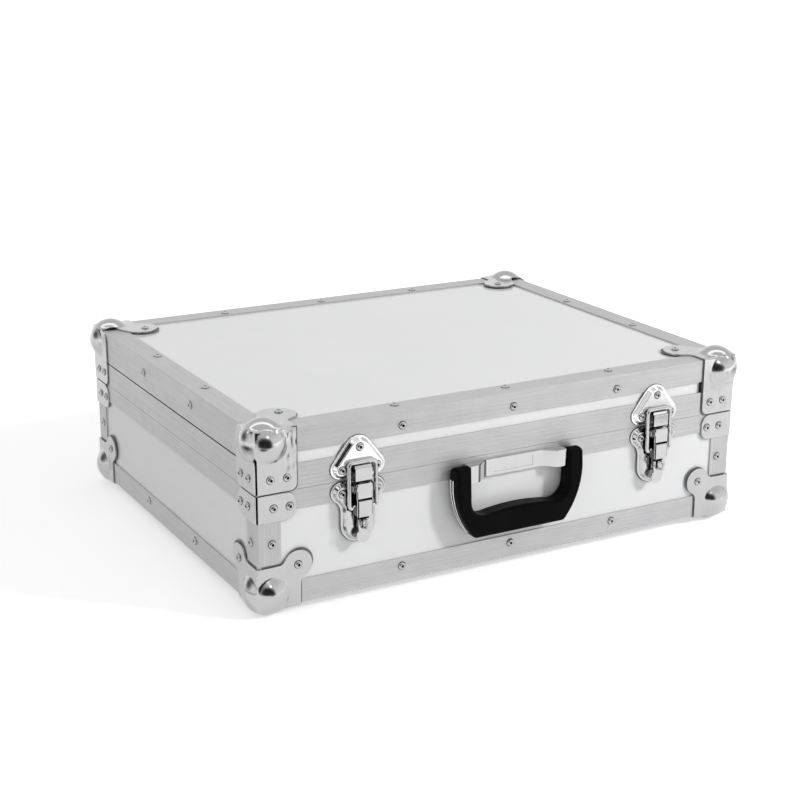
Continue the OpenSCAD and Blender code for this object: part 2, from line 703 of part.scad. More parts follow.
// Front view of the grip: two arms on curved flanks and a bar with a crowned top edge
module grip_outline() {
    low = grip_z - grip_drop;
    top = grip_z + grip_d / 2;
    foot_r = 5;
    sweep = asin((shoulder - low - foot_r) / (grip_flank_r - foot_r));
    flank = [grip_half - grip_flank_r, shoulder];
    foot = flank + (grip_flank_r - foot_r) * [cos(sweep), -sin(sweep)];
    bar_top = low + grip_bar;
    inner_r = arm_w - 1;
    bar_r = (pow(arm_in - arm_w, 2) + pow(crown, 2)) / (2 * crown);
    crown_turn = asin((arm_in - arm_w) / bar_r);
    difference() {
        polygon(concat(
            arc([grip_half - grip_edge, top - grip_edge], grip_edge, 90, 0, 6),
            arc(flank, grip_flank_r, 0, -sweep, 16),
            arc(foot, foot_r, -sweep, -90, 6),
            arc([-foot.x, foot.y], foot_r, -90, sweep - 180, 6),
            arc([-flank.x, flank.y], grip_flank_r, 180 + sweep, 180, 16),
            arc([grip_edge - grip_half, top - grip_edge], grip_edge, 180, 90, 6)));
        polygon(concat(
            [[arm_in, grip_z + grip_d]],
            arc([arm_in - inner_r, bar_top - crown + inner_r], inner_r, 0, -80, 8),
            arc([0, bar_top - bar_r], bar_r, 90 - crown_turn, 90 + crown_turn, 12),
            arc([inner_r - arm_in, bar_top - crown + inner_r], inner_r, -100, -180, 8),
            [[-arm_in, grip_z + grip_d]]));
    }
}

// Side view of the grip: round at the pivot, softened at the bottom
module grip_side() {
    r = grip_d / 2;
    low = grip_z - grip_drop;
    translate([grip_out, grip_z]) circle(r, $fn = round_fn);
    translate([grip_back, low + grip_edge]) square([grip_d, grip_drop - grip_edge]);
    translate([grip_back + grip_edge, low]) square([grip_d - 2 * grip_edge, grip_edge + eps]);
    for (h = [grip_back + grip_edge, grip_back + grip_d - grip_edge])
        translate([h, low + grip_edge]) circle(grip_edge, $fn = 32);
}

// Chrome beads let into the outer sides of the arms
module trim_rings(proud) {
    turn = 38;
    for (s = [-1, 1]) for (h = trim_at)
        mirror([s > 0 ? 0 : 1, 0, 0]) face(0, grip_half - grip_flank_r, shoulder, h)
            rotate([0, 0, -turn]) rotate_extrude(angle = turn, $fn = 96)
                translate([grip_flank_r - trim_bed, 0]) square([trim_bed + proud, trim_w]);
}

module handle_grip() stand() color(black) difference() {
    intersection() {
        face(0, 0, 0) linear_extrude(grip_back + grip_d + 1) grip_outline();
        across(0, 0, 3 * grip_half) grip_side();
    }
    for (s = [-1, 1]) face(0, s * (arm_in - 1), grip_z, grip_out) rotate([0, s * 90, 0])
        cylinder(h = pin_reach + 2, r = grip_pin_r + fit, $fn = round_fn);
    trim_rings(1);
}

module handle_trim() stand() color(chrome) trim_rings(0.4);

// ---------------------------------------------------------------- hinges

// Knuckles of a hinge: the base carries the odd ones and the lid the even ones
module hinge_leaf(up, first) {
    length = hinge_len / 5;
    for (s = [-1, 1]) {
        translate([0, 0, part_z]) mirror([0, 0, up ? 0 : 1]) side(180)
            translate([s * hinge_x - hinge_len / 2, -leaf_t, leaf_clear])
                cube([hinge_len, leaf_t, leaf_h]);
        for (i = [first:2:4]) across(180, s * hinge_x + (i - 2) * length, length - gap)
            difference() {
                union() {
                    translate([hinge_out, part_z]) circle(knuckle_r, $fn = round_fn);
                    translate([gap, up ? part_z : part_z - leaf_clear - eps])
                        square([leaf_t - gap + 0.5, leaf_clear + eps]);
                }
                translate([hinge_out, part_z]) circle(hinge_pin_r + (up ? fit : 0), $fn = round_fn);
            }
    }
}

module hinge_lower_leaves() stand() color(chrome) hinge_leaf(false, 0);

module hinge_upper_leaves() stand() color(chrome) hinge_leaf(true, 1);

module hinge_pins() stand() color(steel) for (s = [-1, 1])
    face(180, s * hinge_x, part_z, hinge_out) rotate([0, 90, 0])
        cylinder(h = hinge_len + 1, r = hinge_pin_r, center = true, $fn = round_fn);

// ---------------------------------------------------------------- nodes

floor_panel(alu_t);  // base_bottom_panel
base_wall(0);  // base_front_panel
base_wall(180);  // base_back_panel
base_wall(270);  // base_left_panel
base_wall(90);  // base_right_panel
base_edge(0);  // base_edge_front
base_edge(180);  // base_edge_back
base_edge(270);  // base_edge_left
base_edge(90);  // base_edge_right
base_posts();
base_rim(0);  // base_rim_front
base_rim(180);  // base_rim_back
base_rim(270);  // base_rim_left
base_rim(90);  // base_rim_right
base_corner(-1, -1);  // base_corner_front_left
base_corner(1, -1);  // base_corner_front_right
base_corner(-1, 1);  // base_corner_back_left
base_corner(1, 1);  // base_corner_back_right
base_rim_clips();
base_rivets();
base_lining();
latch_plate(-1);  // latch_plate_left
latch_plate(1);  // latch_plate_right
latch_pins();
padlock_staples();
hinge_lower_leaves();
hinge_pins();
handle_bracket();
handle_pins();
handle_grip();
handle_trim();
latch_lever(-1);  // latch_lever_left
latch_lever(1);  // latch_lever_right
latch_bail(-1);  // latch_bail_left
latch_bail(1);  // latch_bail_right
floor_panel(case_h - wall_in);  // lid_top_panel
lid_wall(0);  // lid_front_panel
lid_wall(180);  // lid_back_panel
lid_wall(270);  // lid_left_panel
lid_wall(90);  // lid_right_panel
lid_edge(0);  // lid_edge_front
lid_edge(180);  // lid_edge_back
lid_edge(270);  // lid_edge_left
lid_edge(90);  // lid_edge_right
lid_rim(0);  // lid_rim_front
lid_rim(180);  // lid_rim_back
lid_rim(270);  // lid_rim_left
lid_rim(90);  // lid_rim_right
lid_corner(-1, -1);  // lid_corner_front_left
lid_corner(1, -1);  // lid_corner_front_right
lid_corner(-1, 1);  // lid_corner_back_left
lid_corner(1, 1);  // lid_corner_back_right
lid_rivets();
lid_lining();
latch_keeper(-1);  // latch_keeper_left
latch_keeper(1);  // latch_keeper_right
hinge_upper_leaves();
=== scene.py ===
import math

import bmesh
import bpy
from mathutils import Matrix, Vector, noise


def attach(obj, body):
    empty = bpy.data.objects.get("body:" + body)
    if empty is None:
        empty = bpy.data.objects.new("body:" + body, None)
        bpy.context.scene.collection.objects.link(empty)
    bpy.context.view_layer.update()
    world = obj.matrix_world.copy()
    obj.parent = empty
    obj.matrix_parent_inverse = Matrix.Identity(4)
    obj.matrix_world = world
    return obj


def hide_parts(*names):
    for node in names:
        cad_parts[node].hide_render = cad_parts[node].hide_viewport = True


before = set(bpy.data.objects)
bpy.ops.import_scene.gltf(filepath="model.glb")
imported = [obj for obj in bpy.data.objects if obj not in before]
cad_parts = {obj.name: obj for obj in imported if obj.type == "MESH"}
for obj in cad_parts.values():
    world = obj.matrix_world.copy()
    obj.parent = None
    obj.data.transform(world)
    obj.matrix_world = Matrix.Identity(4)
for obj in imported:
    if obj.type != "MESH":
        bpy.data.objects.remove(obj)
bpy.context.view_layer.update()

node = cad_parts
scene = bpy.context.scene

# ---------------------------------------------------------------- the case's measures, in mm

CASE_W, CASE_D, CASE_H = 510.0, 406.0, 160.8
PART_Z = 105.3      # parting line between base and lid
CASE_Y = 5.95       # the case stands this far behind the origin
FOOT = 8.5          # its lower balls hold it this far off the floor
LATCH_X = 159.5     # middle of each latch
CORNERS = [(sx, sy) for sx in (-1, 1) for sy in (-1, 1)]
STAND = Matrix.Translation((0, CASE_Y / 1000, FOOT / 1000)) @ Matrix.Scale(0.001, 4)


def turned(angle, axis):
    return Matrix.Rotation(math.radians(angle), 4, axis)


def front_board(x=0.0, z=0.0):
    """A drawing board on the front: X along it, Y up, Z out of the case."""
    return Matrix.Translation((x, -CASE_D / 2, z)) @ turned(90, "X")


def corner_place(sx, sy, top):
    """A corner of the case, where X, Y and Z all point into it."""
    at = Vector((sx * CASE_W / 2, sy * CASE_D / 2, CASE_H if top else 0))
    return Matrix.Translation(at) @ Matrix.Diagonal((-sx, -sy, -1 if top else 1, 1))


# ---------------------------------------------------------------- materials

WHITE = (1, 1, 1, 1)


def fill(made, **values):
    """Sets a node's own settings and the numbers of its inputs."""
    for key, value in values.items():
        if hasattr(made, key):
            setattr(made, key, value)
        else:
            made.inputs[key.replace("_", " ")].default_value = value


def add(tree, kind, **values):
    made = tree.nodes.new(kind)
    fill(made, **values)
    return made


def feed(tree, source, made, socket):
    tree.links.new(source, made.inputs[socket])


def new_material(name, **values):
    made = bpy.data.materials.new(name)
    made.use_nodes = True
    shader = made.node_tree.nodes["Principled BSDF"]
    fill(shader, **values)
    return made, made.node_tree, shader


def pattern(tree, scale, detail, stretch=(1, 1, 1)):
    """Noise on object coordinates, stretched along an axis."""
    place = add(tree, "ShaderNodeTexCoord")
    fit = add(tree, "ShaderNodeMapping", Scale=stretch)
    cloud = add(tree, "ShaderNodeTexNoise", Scale=scale, Detail=detail, Roughness=0.55)
    feed(tree, place.outputs["Object"], fit, "Vector")
    feed(tree, fit.outputs["Vector"], cloud, "Vector")
    return cloud.outputs["Fac"]


def spread(tree, source, low, high, out_low, out_high):
    """Takes values between low and high to a range of their own."""
    ranged = add(tree, "ShaderNodeMapRange", From_Min=low, From_Max=high, To_Min=out_low, To_Max=out_high)
    feed(tree, source, ranged, "Value")
    return ranged.outputs["Result"]


def tinted(tree, source, dark, light, low=0.3, high=0.7):
    """Colours a pattern from dark, at low, to light, at high."""
    ramp = add(tree, "ShaderNodeValToRGB")
    for stop, at, colour in zip(ramp.color_ramp.elements, (low, high), (dark, light)):
        stop.position, stop.color = at, (*colour, 1)
    feed(tree, source, ramp, "Fac")
    return ramp.outputs["Color"]


def bumped(tree, source, shader, distance, under=None):
    """Relief from a pattern, alone or on top of another relief."""
    bump = add(tree, "ShaderNodeBump", Strength=1.0, Distance=distance)
    feed(tree, source, bump, "Height")
    if under is not None:
        feed(tree, under, bump, "Normal")
    feed(tree, bump.outputs["Normal"], shader, "Normal")
    return bump.outputs["Normal"]


def chrome_plate(name, tone, dull, wave):
    """Bright plating over pressed sheet, with the sheet's slow waves and a trace of haze."""
    made, tree, shader = new_material(name, Metallic=1.0)
    plating = tinted(tree, pattern(tree, 55, 3), (tone * 0.94,) * 3, (tone, tone, tone * 1.01))
    haze = spread(tree, pattern(tree, 140, 5), 0.35, 0.7, dull, dull + 0.09)
    feed(tree, plating, shader, "Base Color")
    feed(tree, haze, shader, "Roughness")
    slow = bumped(tree, pattern(tree, 48, 1), shader, wave)
    bumped(tree, pattern(tree, 900, 2), shader, 0.000004, slow)
    return made


def drawn_aluminium(name, along):
    """Satin anodised extrusion: fine die lines run along it, with small scuffs."""
    made, tree, shader = new_material(name, Metallic=0.78)
    stretch = [1.0, 1.0, 1.0]
    stretch[along] = 0.012
    lines = pattern(tree, 900, 3, stretch)
    metal = tinted(tree, lines, (0.560, 0.553, 0.562), (0.640, 0.633, 0.640), 0.25, 0.75)
    scuffs = spread(tree, pattern(tree, 60, 6), 0.3, 0.75, 0.46, 0.60)
    feed(tree, metal, shader, "Base Color")
    feed(tree, scuffs, shader, "Roughness")
    bumped(tree, lines, shader, 0.00002)
    return made


def white_laminate():
    """Glossy white melamine face: faint orange peel, slight clouding and a few rubs."""
    made, tree, shader = new_material("White laminate", IOR=1.5)
    cloud = tinted(tree, pattern(tree, 9, 5), (0.785, 0.788, 0.795), (0.81, 0.812, 0.818))
    rubs = spread(tree, pattern(tree, 34, 7), 0.4, 0.75, 0.09, 0.20)
    feed(tree, cloud, shader, "Base Color")
    feed(tree, rubs, shader, "Roughness")
    bumped(tree, pattern(tree, 420, 2), shader, 0.000012)
    return made


def moulded_plastic():
    """Satin black moulding with a fine spark texture and slightly polished wear."""
    made, tree, shader = new_material("Grip plastic", Specular_IOR_Level=0.045)
    black = tinted(tree, pattern(tree, 40, 4), (0.0013, 0.0013, 0.0015), (0.0026, 0.0026, 0.0029))
    wear = spread(tree, pattern(tree, 70, 5), 0.3, 0.7, 0.30, 0.44)
    feed(tree, black, shader, "Base Color")
    feed(tree, wear, shader, "Roughness")
    bumped(tree, pattern(tree, 2600, 2), shader, 0.00002)
    return made


def turned_steel(name, tone, dull):
    """Plain machined metal; a low tone makes it a shade that no light gets into."""
    made, tree, shader = new_material(name, Metallic=1.0)
    feed(tree, tinted(tree, pattern(tree, 500, 3), (tone * 0.9,) * 3, (tone,) * 3), shader, "Base Color")
    feed(tree, spread(tree, pattern(tree, 300, 3), 0.3, 0.7, dull, dull + 0.12), shader, "Roughness")
    return made


def lining_foam():
    """Dark open-cell foam sheet: coarse cells in relief under a soft nap."""
    made, tree, shader = new_material("Lining foam", Roughness=0.95, Sheen_Weight=0.25, Sheen_Roughness=0.4)
    cells = add(tree, "ShaderNodeTexVoronoi", Scale=700.0)
    place = add(tree, "ShaderNodeTexCoord")
    feed(tree, place.outputs["Object"], cells, "Vector")
    deep = tinted(tree, cells.outputs["Distance"], (0.012, 0.012, 0.014), (0.05, 0.05, 0.055), 0.1, 0.6)
    feed(tree, deep, shader, "Base Color")
    bumped(tree, cells.outputs["Distance"], shader, 0.0004)
    return made


# Tone, haze and the depth of the sheet's slow waves in metres
ball_chrome = chrome_plate("Ball corner chrome", 0.57, 0.12, 0.00016)
latch_chrome = chrome_plate("Latch chrome", 0.61, 0.04, 0.00008)
# The keeper's chrome is a much brighter copy of the latch chrome: painted light that whitens the keeper's
# face
keeper_chrome_painted_light = chrome_plate("Keeper chrome", 0.90, 0.05, 0.00010)
bracket_chrome = chrome_plate("Bracket chrome", 0.63, 0.08, 0.00008)
hinge_chrome = chrome_plate("Hinge chrome", 0.66, 0.10, 0.00005)
rivet_steel = chrome_plate("Rivet steel", 0.52, 0.10, 0.0)
# Painted shade: deep shade is a near-black sheet for gaps and recesses, joint shade a dark grey for the lines
# where plates meet the case, and shaded chrome a dark copy of the chrome for side faces and cheeks
deep_shade = turned_steel("Deep shade", 0.02, 0.6)
joint_shade = turned_steel("Joint shade", 0.26, 0.6)
shaded_chrome = chrome_plate("Shaded chrome", 0.14, 0.16, 0.0)
pin_steel = turned_steel("Pin steel", 0.62, 0.2)
alu_x, alu_y, alu_z = [drawn_aluminium("Aluminium along " + a, i) for i, a in enumerate("XYZ")]
laminate = white_laminate()
grip_plastic = moulded_plastic()
foam = lining_foam()

# Places in a piece's list of materials: its first is its plating, its second its painted shade, and its
# fourth, where it has one, the dark chrome of painted shade on side faces
SHADE, HOOK_PLATING, SHADED_SIDES = 1, 2, 3


# ---------------------------------------------------------------- making pieces

def object_of(bm, name, materials=()):
    """Puts a shape in the scene as an object, and frees it."""
    mesh = bpy.data.meshes.new(name)
    bm.to_mesh(mesh)
    bm.free()
    for material in materials:
        mesh.materials.append(material)
    made = bpy.data.objects.new(name, mesh)
    scene.collection.objects.link(made)
    return made


def finished(name, bm, body, materials, stands_for=(), sharp=30):
    """Sets a shape drawn in case millimetres in place as a piece of the object."""
    bmesh.ops.transform(bm, matrix=STAND, verts=bm.verts)
    piece = object_of(bm, name, materials)
    piece.data.shade_smooth()
    piece.data.set_sharp_from_angle(angle=math.radians(sharp))
    flats = piece.modifiers.new("True flats", "WEIGHTED_NORMAL")
    flats.mode, flats.weight, flats.keep_sharp = "FACE_AREA", 50, True
    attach(piece, body)
    if stands_for:
        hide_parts(*stands_for)
    return piece


def arc(x, y, r, start, end, steps):
    """Points on a circle, from one angle to another in degrees."""
    turns = [math.radians(start + (end - start) * i / steps) for i in range(steps + 1)]
    return [(x + r * math.cos(t), y + r * math.sin(t)) for t in turns]


def sheet_from(outline, z=0.0):
    """A flat face with this outline, which looks up; points that fall together are left out."""
    outline = [p for i, p in enumerate(outline) if math.dist(p, outline[i - 1]) > 0.01]
    bm = bmesh.new()
    face = bm.faces.new([bm.verts.new((x, y, z)) for x, y in outline])
    bm.normal_update()
    if face.normal.z < 0:
        face.normal_flip()
    return bm, face


def raised(bm, face, height):
    """Gives a flat outline its thickness; the face that was drawn becomes the front."""
    made = bmesh.ops.extrude_face_region(bm, geom=[face])["geom"]
    bmesh.ops.translate(bm, vec=(0, 0, height), verts=[g for g in made if isinstance(g, bmesh.types.BMVert)])
    bmesh.ops.recalc_face_normals(bm, faces=bm.faces)
    return [g for g in made if isinstance(g, bmesh.types.BMFace)]


def slab(outline, height, z=0.0):
    """A closed plate with this outline."""
    bm, face = sheet_from(outline, z)
    raised(bm, face, height)
    return bm


def painted(bm, index):
    """Gives a whole shape one of its piece's materials."""
    for f in bm.faces:
        f.material_index = index
    return bm


def eased(bm, width, segments=2, angle=30, keep=None):
    """Rounds the sharp edges of a shape."""
    bm.normal_update()
    edges = [e for e in bm.edges if len(e.link_faces) == 2 and e.calc_face_angle() > math.radians(angle)
             and (keep is None or keep(e))]
    bmesh.ops.bevel(bm, geom=edges, offset=width, offset_type="OFFSET", affect="EDGES", segments=segments,
                    profile=0.5, material=-1, clamp_overlap=True)


def joined(bm, other, place=Matrix.Identity(4)):
    """Adds another shape to a shape, moved to its place."""
    bmesh.ops.transform(other, matrix=place, verts=other.verts)
    if place.determinant() < 0:
        bmesh.ops.reverse_faces(other, faces=other.faces)
    spare = bpy.data.meshes.new("spare")
    other.to_mesh(spare)
    other.free()
    bm.from_mesh(spare)
    bpy.data.meshes.remove(spare)


def shape_of(seen):
    """The final mesh of an object that is only a means, as a shape."""
    bm = bmesh.new()
    bm.from_mesh(seen.to_mesh())
    seen.to_mesh_clear()
    return bm


def carved(bm, cutter):
    """Takes one closed shape out of another."""
    pair = [object_of(shape, "spare") for shape in (bm, cutter)]
    cut = pair[0].modifiers.new("cut", "BOOLEAN")
    cut.object, cut.operation, cut.solver = pair[1], "DIFFERENCE", "EXACT"
    made = shape_of(pair[0].evaluated_get(bpy.context.evaluated_depsgraph_get()))
    for spare in pair:
        mesh = spare.data
        bpy.data.objects.remove(spare)
        bpy.data.meshes.remove(mesh)
    return made


def block(low, high):
    bm = bmesh.new()
    bmesh.ops.create_cube(bm, size=1)
    low, high = Vector(low), Vector(high)
    bmesh.ops.scale(bm, vec=high - low, verts=bm.verts)
    bmesh.ops.translate(bm, vec=(low + high) / 2, verts=bm.verts)
    return bm


def rod(radius, length):
    """A round bar from the origin up Z."""
    bm = bmesh.new()
    bmesh.ops.create_cone(bm, cap_ends=True, segments=32, radius1=radius, radius2=radius, depth=length)
    bmesh.ops.translate(bm, vec=(0, 0, length / 2), verts=bm.verts)
    return bm


def flat_square(size):
    bm = bmesh.new()
    bmesh.ops.create_grid(bm, x_segments=1, y_segments=1, size=size)
    return bm


# ---------------------------------------------------------------- camera, light and floor

CAMERA_TURN, CAMERA_RISE, CAMERA_ROLL = -29.11, 17.12, 0.22     # degrees
CAMERA_AWAY, CAMERA_AIM = 1.6379, (0.00064, 0.01527, 0.10344)   # metres
CAMERA_LENS = 71.95                                             # mm, over a frame 36 mm wide
CARD_AWAY, CARD_AIM_Z = 2.4, 0.1                                # metres


def facing(az, rise):
    """The direction of something that stands at this azimuth and elevation round the object."""
    a, e = math.radians(az), math.radians(rise)
    return Vector((math.sin(a) * math.cos(e), -math.cos(a) * math.cos(e), math.sin(e)))


def set_camera():
    """Camera on the front left, a little above the case."""
    roll = math.radians(CAMERA_ROLL)
    back = facing(CAMERA_TURN, CAMERA_RISE)
    right = (-back).cross(Vector((0, 0, 1))).normalized()
    up = right.cross(-back)
    rolled_right = right * math.cos(roll) + up * math.sin(roll)
    rolled_up = up * math.cos(roll) - right * math.sin(roll)
    turn = Matrix((rolled_right, rolled_up, back)).transposed()
    lens = bpy.data.cameras.new("Camera")
    lens.lens, lens.sensor_width = CAMERA_LENS, 36
    lens.clip_start, lens.clip_end = 0.05, 60
    camera = bpy.data.objects.new("Camera", lens)
    camera.matrix_world = Matrix.Translation(Vector(CAMERA_AIM) + back * CAMERA_AWAY) @ turn.to_4x4()
    scene.collection.objects.link(camera)
    scene.camera = camera


def background_rays(tree):
    """Switches for the rays that see the white studio: all of them, and those that come off the object."""
    path = add(tree, "ShaderNodeLightPath")
    mirrored = add(tree, "ShaderNodeMath", operation="MAXIMUM")
    feed(tree, path.outputs["Is Glossy Ray"], mirrored, 0)
    feed(tree, path.outputs["Is Transmission Ray"], mirrored, 1)
    every = add(tree, "ShaderNodeMath", operation="MAXIMUM")
    feed(tree, path.outputs["Is Camera Ray"], every, 0)
    feed(tree, mirrored.outputs[0], every, 1)
    return every.outputs[0], mirrored.outputs[0]


def set_world():
    """A white room that lights the object less than it shows; reflections see it darker towards the top."""
    world = bpy.data.worlds.new("Studio")
    world.use_nodes = True
    scene.world = world
    tree = world.node_tree
    sky = tree.nodes["Background"]
    fill(sky, Color=WHITE)
    place = add(tree, "ShaderNodeTexCoord")
    height = add(tree, "ShaderNodeSeparateXYZ")
    feed(tree, place.outputs["Generated"], height, 0)
    seen = add(tree, "ShaderNodeMix", data_type="FLOAT", A=0.47)
    feed(tree, background_rays(tree)[0], seen, "Factor")
    feed(tree, spread(tree, height.outputs["Z"], 0.28, 0.58, 1.0, 0.74), seen, "B")
    feed(tree, seen.outputs["Result"], sky, "Strength")


def soft_lamp(name, at, size, power):
    """A rectangular lamp that faces the object and shows in no reflection."""
    lamp = bpy.data.lights.new(name, "AREA")
    lamp.shape, lamp.size, lamp.size_y, lamp.energy = "RECTANGLE", size[0], size[1], power
    holder = bpy.data.objects.new(name, lamp)
    holder.location = at
    holder.rotation_euler = (Vector(at) - Vector((0, 0, 0.1))).to_track_quat("Z", "Y").to_euler()
    holder.visible_glossy = False
    scene.collection.objects.link(holder)


def stage_floor():
    """A pale floor that glows for the rays that see it, and turns white away from the object."""
    made, tree, shader = new_material("Pale floor", Roughness=0.9, Specular_IOR_Level=0.1,
                                      Emission_Color=WHITE)
    pale = tinted(tree, pattern(tree, 3, 3), (0.88, 0.88, 0.885), (0.90, 0.90, 0.90))
    feed(tree, pale, shader, "Base Color")
    place = add(tree, "ShaderNodeTexCoord")
    away = add(tree, "ShaderNodeVectorMath", operation="LENGTH")
    feed(tree, place.outputs["Object"], away, 0)
    every, mirrored = background_rays(tree)
    near = add(tree, "ShaderNodeMix", data_type="FLOAT", A=0.42, B=0.31)
    feed(tree, mirrored, near, "Factor")
    level = add(tree, "ShaderNodeMix", data_type="FLOAT", B=1.0)
    feed(tree, spread(tree, away.outputs["Value"], 0.6, 4.0, 0.0, 1.0), level, "Factor")
    feed(tree, near.outputs["Result"], level, "A")
    glow = add(tree, "ShaderNodeMath", operation="MULTIPLY")
    feed(tree, every, glow, 0)
    feed(tree, level.outputs["Result"], glow, 1)
    feed(tree, glow.outputs[0], shader, "Emission Strength")
    floor = object_of(flat_square(14), "Floor", [made])


def stage_card(name, az, rise, width, height, tone, glow=0.0, core=1.0, lies=0.0):
    """A card that only reflections see, as a studio puts up to give chrome its darks and lights.

    Core is the share of the card that is solid; past it, the card fades away to its edge. A card that lies
    is on the floor, so far from the case.
    """
    made, tree, shader = new_material(name, Base_Color=(tone, tone, tone, 1), Roughness=1.0,
                                      Specular_IOR_Level=0.0, Emission_Color=WHITE, Emission_Strength=glow)
    place = add(tree, "ShaderNodeTexCoord")
    fit = add(tree, "ShaderNodeMapping", Scale=(2 / width, 2 / height, 1))
    away = add(tree, "ShaderNodeVectorMath", operation="LENGTH")
    feed(tree, place.outputs["Object"], fit, "Vector")
    feed(tree, fit.outputs["Vector"], away, 0)
    if core < 1:
        feed(tree, spread(tree, away.outputs["Value"], core, 1.0, 1.0, 0.0), shader, "Alpha")
    back = facing(az, rise)
    bm = flat_square(0.5)
    bmesh.ops.scale(bm, vec=(width, height, 1), verts=bm.verts)
    card = object_of(bm, name, [made])
    if lies:
        card.matrix_world = Matrix.Translation((back.x * lies, back.y * lies, 0.001)) @ turned(az, "Z")
    else:
        turn = back.to_track_quat("Z", "Y").to_matrix().to_4x4()
        card.matrix_world = Matrix.Translation(back * CARD_AWAY + Vector((0, 0, CARD_AIM_Z))) @ turn
    card.visible_camera = card.visible_diffuse = card.visible_shadow = card.visible_transmission = False


# Name, place and size in metres, and power in watts
LAMPS = (
    ("Key", (1.7, -2.2, 1.9), (3.2, 2.6), 14),
    ("Window", (1.75, -1.9, 1.55), (0.36, 0.36), 38),
    ("Top", (-0.6, 0.5, 2.6), (3.0, 3.0), 9),
    ("Left", (-2.4, -0.7, 1.3), (1.6, 1.6), 5),
)
# Name, azimuth, elevation, width, height, tone, glow, core, and how far off it lies
CARDS = (
    ("Dark room", -16, 4, 3.4, 2.6, 0.03, 0.0, 0.62),
    ("Dark floor", -16, 0, 2.2, 3.4, 0.03, 0.0, 0.8, 2.26),
    ("Dim floor left", -84, 0, 0.7, 0.7, 0.10, 0.0, 0.3, 0.72),
    ("Dark floor right", 74, 0, 0.9, 1.0, 0.25, 0.0, 0.0, 1.0),
    ("Dim floor right", 38, 0, 0.21, 0.21, 0.80, 0.0, 0.5, 0.722),
    ("Dim left", -122, 12, 2.4, 1.8, 0.16, 0.0, 0.3),
    ("Dark corner right", 82, 16, 1.2, 1.0, 0.16, 0.0, 0.15),
    ("Dark slope left", -80, 39, 1.3, 1.0, 0.03, 0.0, 0.6),
    ("Dark floor by the latch", -33, 0, 0.30, 0.34, 0.03, 0.0, 0.5, 0.70),
    ("Ceiling light", 151, 73, 4.4, 0.5, 0.8, 1.3),
    ("Front ceiling light", -29, 68, 4.6, 0.26, 0.8, 1.1),
)
# Azimuth and elevation of the small bright strips
STRIPS = ((-114, 29), (-52, 27), (-2, 30), (56, 33))

scene.view_settings.view_transform = "Standard"
set_camera()
set_world()
for lamp_values in LAMPS:
    soft_lamp(*lamp_values)
stage_floor()
for card_values in CARDS:
    stage_card(*card_values)
for i, (turn, rise) in enumerate(STRIPS):
    stage_card("Strip light %d" % i, turn, rise, 0.26, 0.30, 0.8, 3.0)

# ---------------------------------------------------------------- ball corners

BALL_R, INSET, PLATE = 21.0, 12.5, 1.6      # ball, how deep its middle lies, and the sheet
MIDDLE = INSET + PLATE                      # the ball's middle, from the pressed faces
LOBE_AT, LOBE_R = 38.6, 13.0                # rivet lobes on the base's corners
TONGUE_AT, TONGUE_R = 38.1, 17.0            # broad tongues on the top and the underside
BASE_LEG, LID_LEG, LEG_R = (40.6, 40.1), (38.6, 56.4), 6
SHOULDER = 12.0                             # round top of the lid corners' side legs
SEAM, SLIT_FROM = 2.2, 23.5                 # place of a seam's edge, and where the lid's seams open
BEND, BALL_BLEND = 2.0, 1.8                 # how softly the sheet bends, and meets the ball
INNER_RINGS = (0, 3, 6, 9, 11.5, 13.5, 14.8, 15.6, 16.3, 17.0, 17.7, 18.5)
WAIST, OUTER_RINGS = INNER_RINGS[-1], 7
DENT, DENT_FROM, DENT_TO = 0.7, 2, 46       # depth of the knocks, and where they lie on the leg


def lobed_edge(width, height, lobe_at, soften, lobe_r):
    """Free edge of a plate with a rivet lobe, from (width, 0) round to (0, height)."""
    steps, run_in = 720, math.radians(12)
    start = math.atan2(-MIDDLE, width - MIDDLE)
    end = math.atan2(height - MIDDLE, -MIDDLE)
    out = lobe_at - MIDDLE
    points = []
    for i in range(steps + 1):
        turn = start + (end - start) * i / steps
        c, s = math.cos(turn), math.sin(turn)
        plain = min((width - MIDDLE) / c if c > 1e-6 else 1e9, (height - MIDDLE) / s if s > 1e-6 else 1e9)
        along, off = out * c + out * s, abs(out * s - out * c)
        lobe = along + math.sqrt(max(lobe_r ** 2 - off ** 2, 0)) - 3 * max(off - lobe_r, 0)
        if along < 0:
            lobe = -60
        k = soften * min(1, min(abs(turn - start), abs(end - turn)) / run_in)
        reach = 0.5 * (plain + lobe + math.hypot(plain - lobe, k))
        points.append((MIDDLE + reach * c, MIDDLE + reach * s))
    return points


def leg_edge(width, height, shoulder=0.0):
    """Free edge of a plain downward leg, from its top or its round shoulder down to the open seam."""
    top = arc(width - shoulder, shoulder, shoulder, -90, 0, 10) if shoulder else [(width, 0)]
    corner = arc(width - LEG_R, height - LEG_R, LEG_R, 0, 90, 8)
    return top + [(width, height - LEG_R)] + corner + [(SEAM, height)]


def even_steps(points, count):
    """The same line in equal steps."""
    runs = [0.0]
    for p, q in zip(points, points[1:]):
        runs.append(runs[-1] + math.dist(p, q))
    made, j = [], 0
    for i in range(count + 1):
        at = runs[-1] * i / count
        while j < len(points) - 2 and runs[j + 1] < at:
            j += 1
        part = (at - runs[j]) / max(runs[j + 1] - runs[j], 1e-9)
        made.append(tuple(a + (b - a) * part for a, b in zip(points[j], points[j + 1])))
    return made


def pressed(p):
    """Takes a point on a sharp box corner to the pressed shape: soft bends, and the ball."""
    core = Vector([max(c, BEND) for c in p])
    if (p - core).length > 1e-6:
        p = core + (p - core).normalized() * BEND
    middle = Vector((MIDDLE,) * 3)
    away = p - middle
    reach = 0.5 * (away.length + BALL_R + math.hypot(away.length - BALL_R, BALL_BLEND))
    return middle + away.normalized() * reach


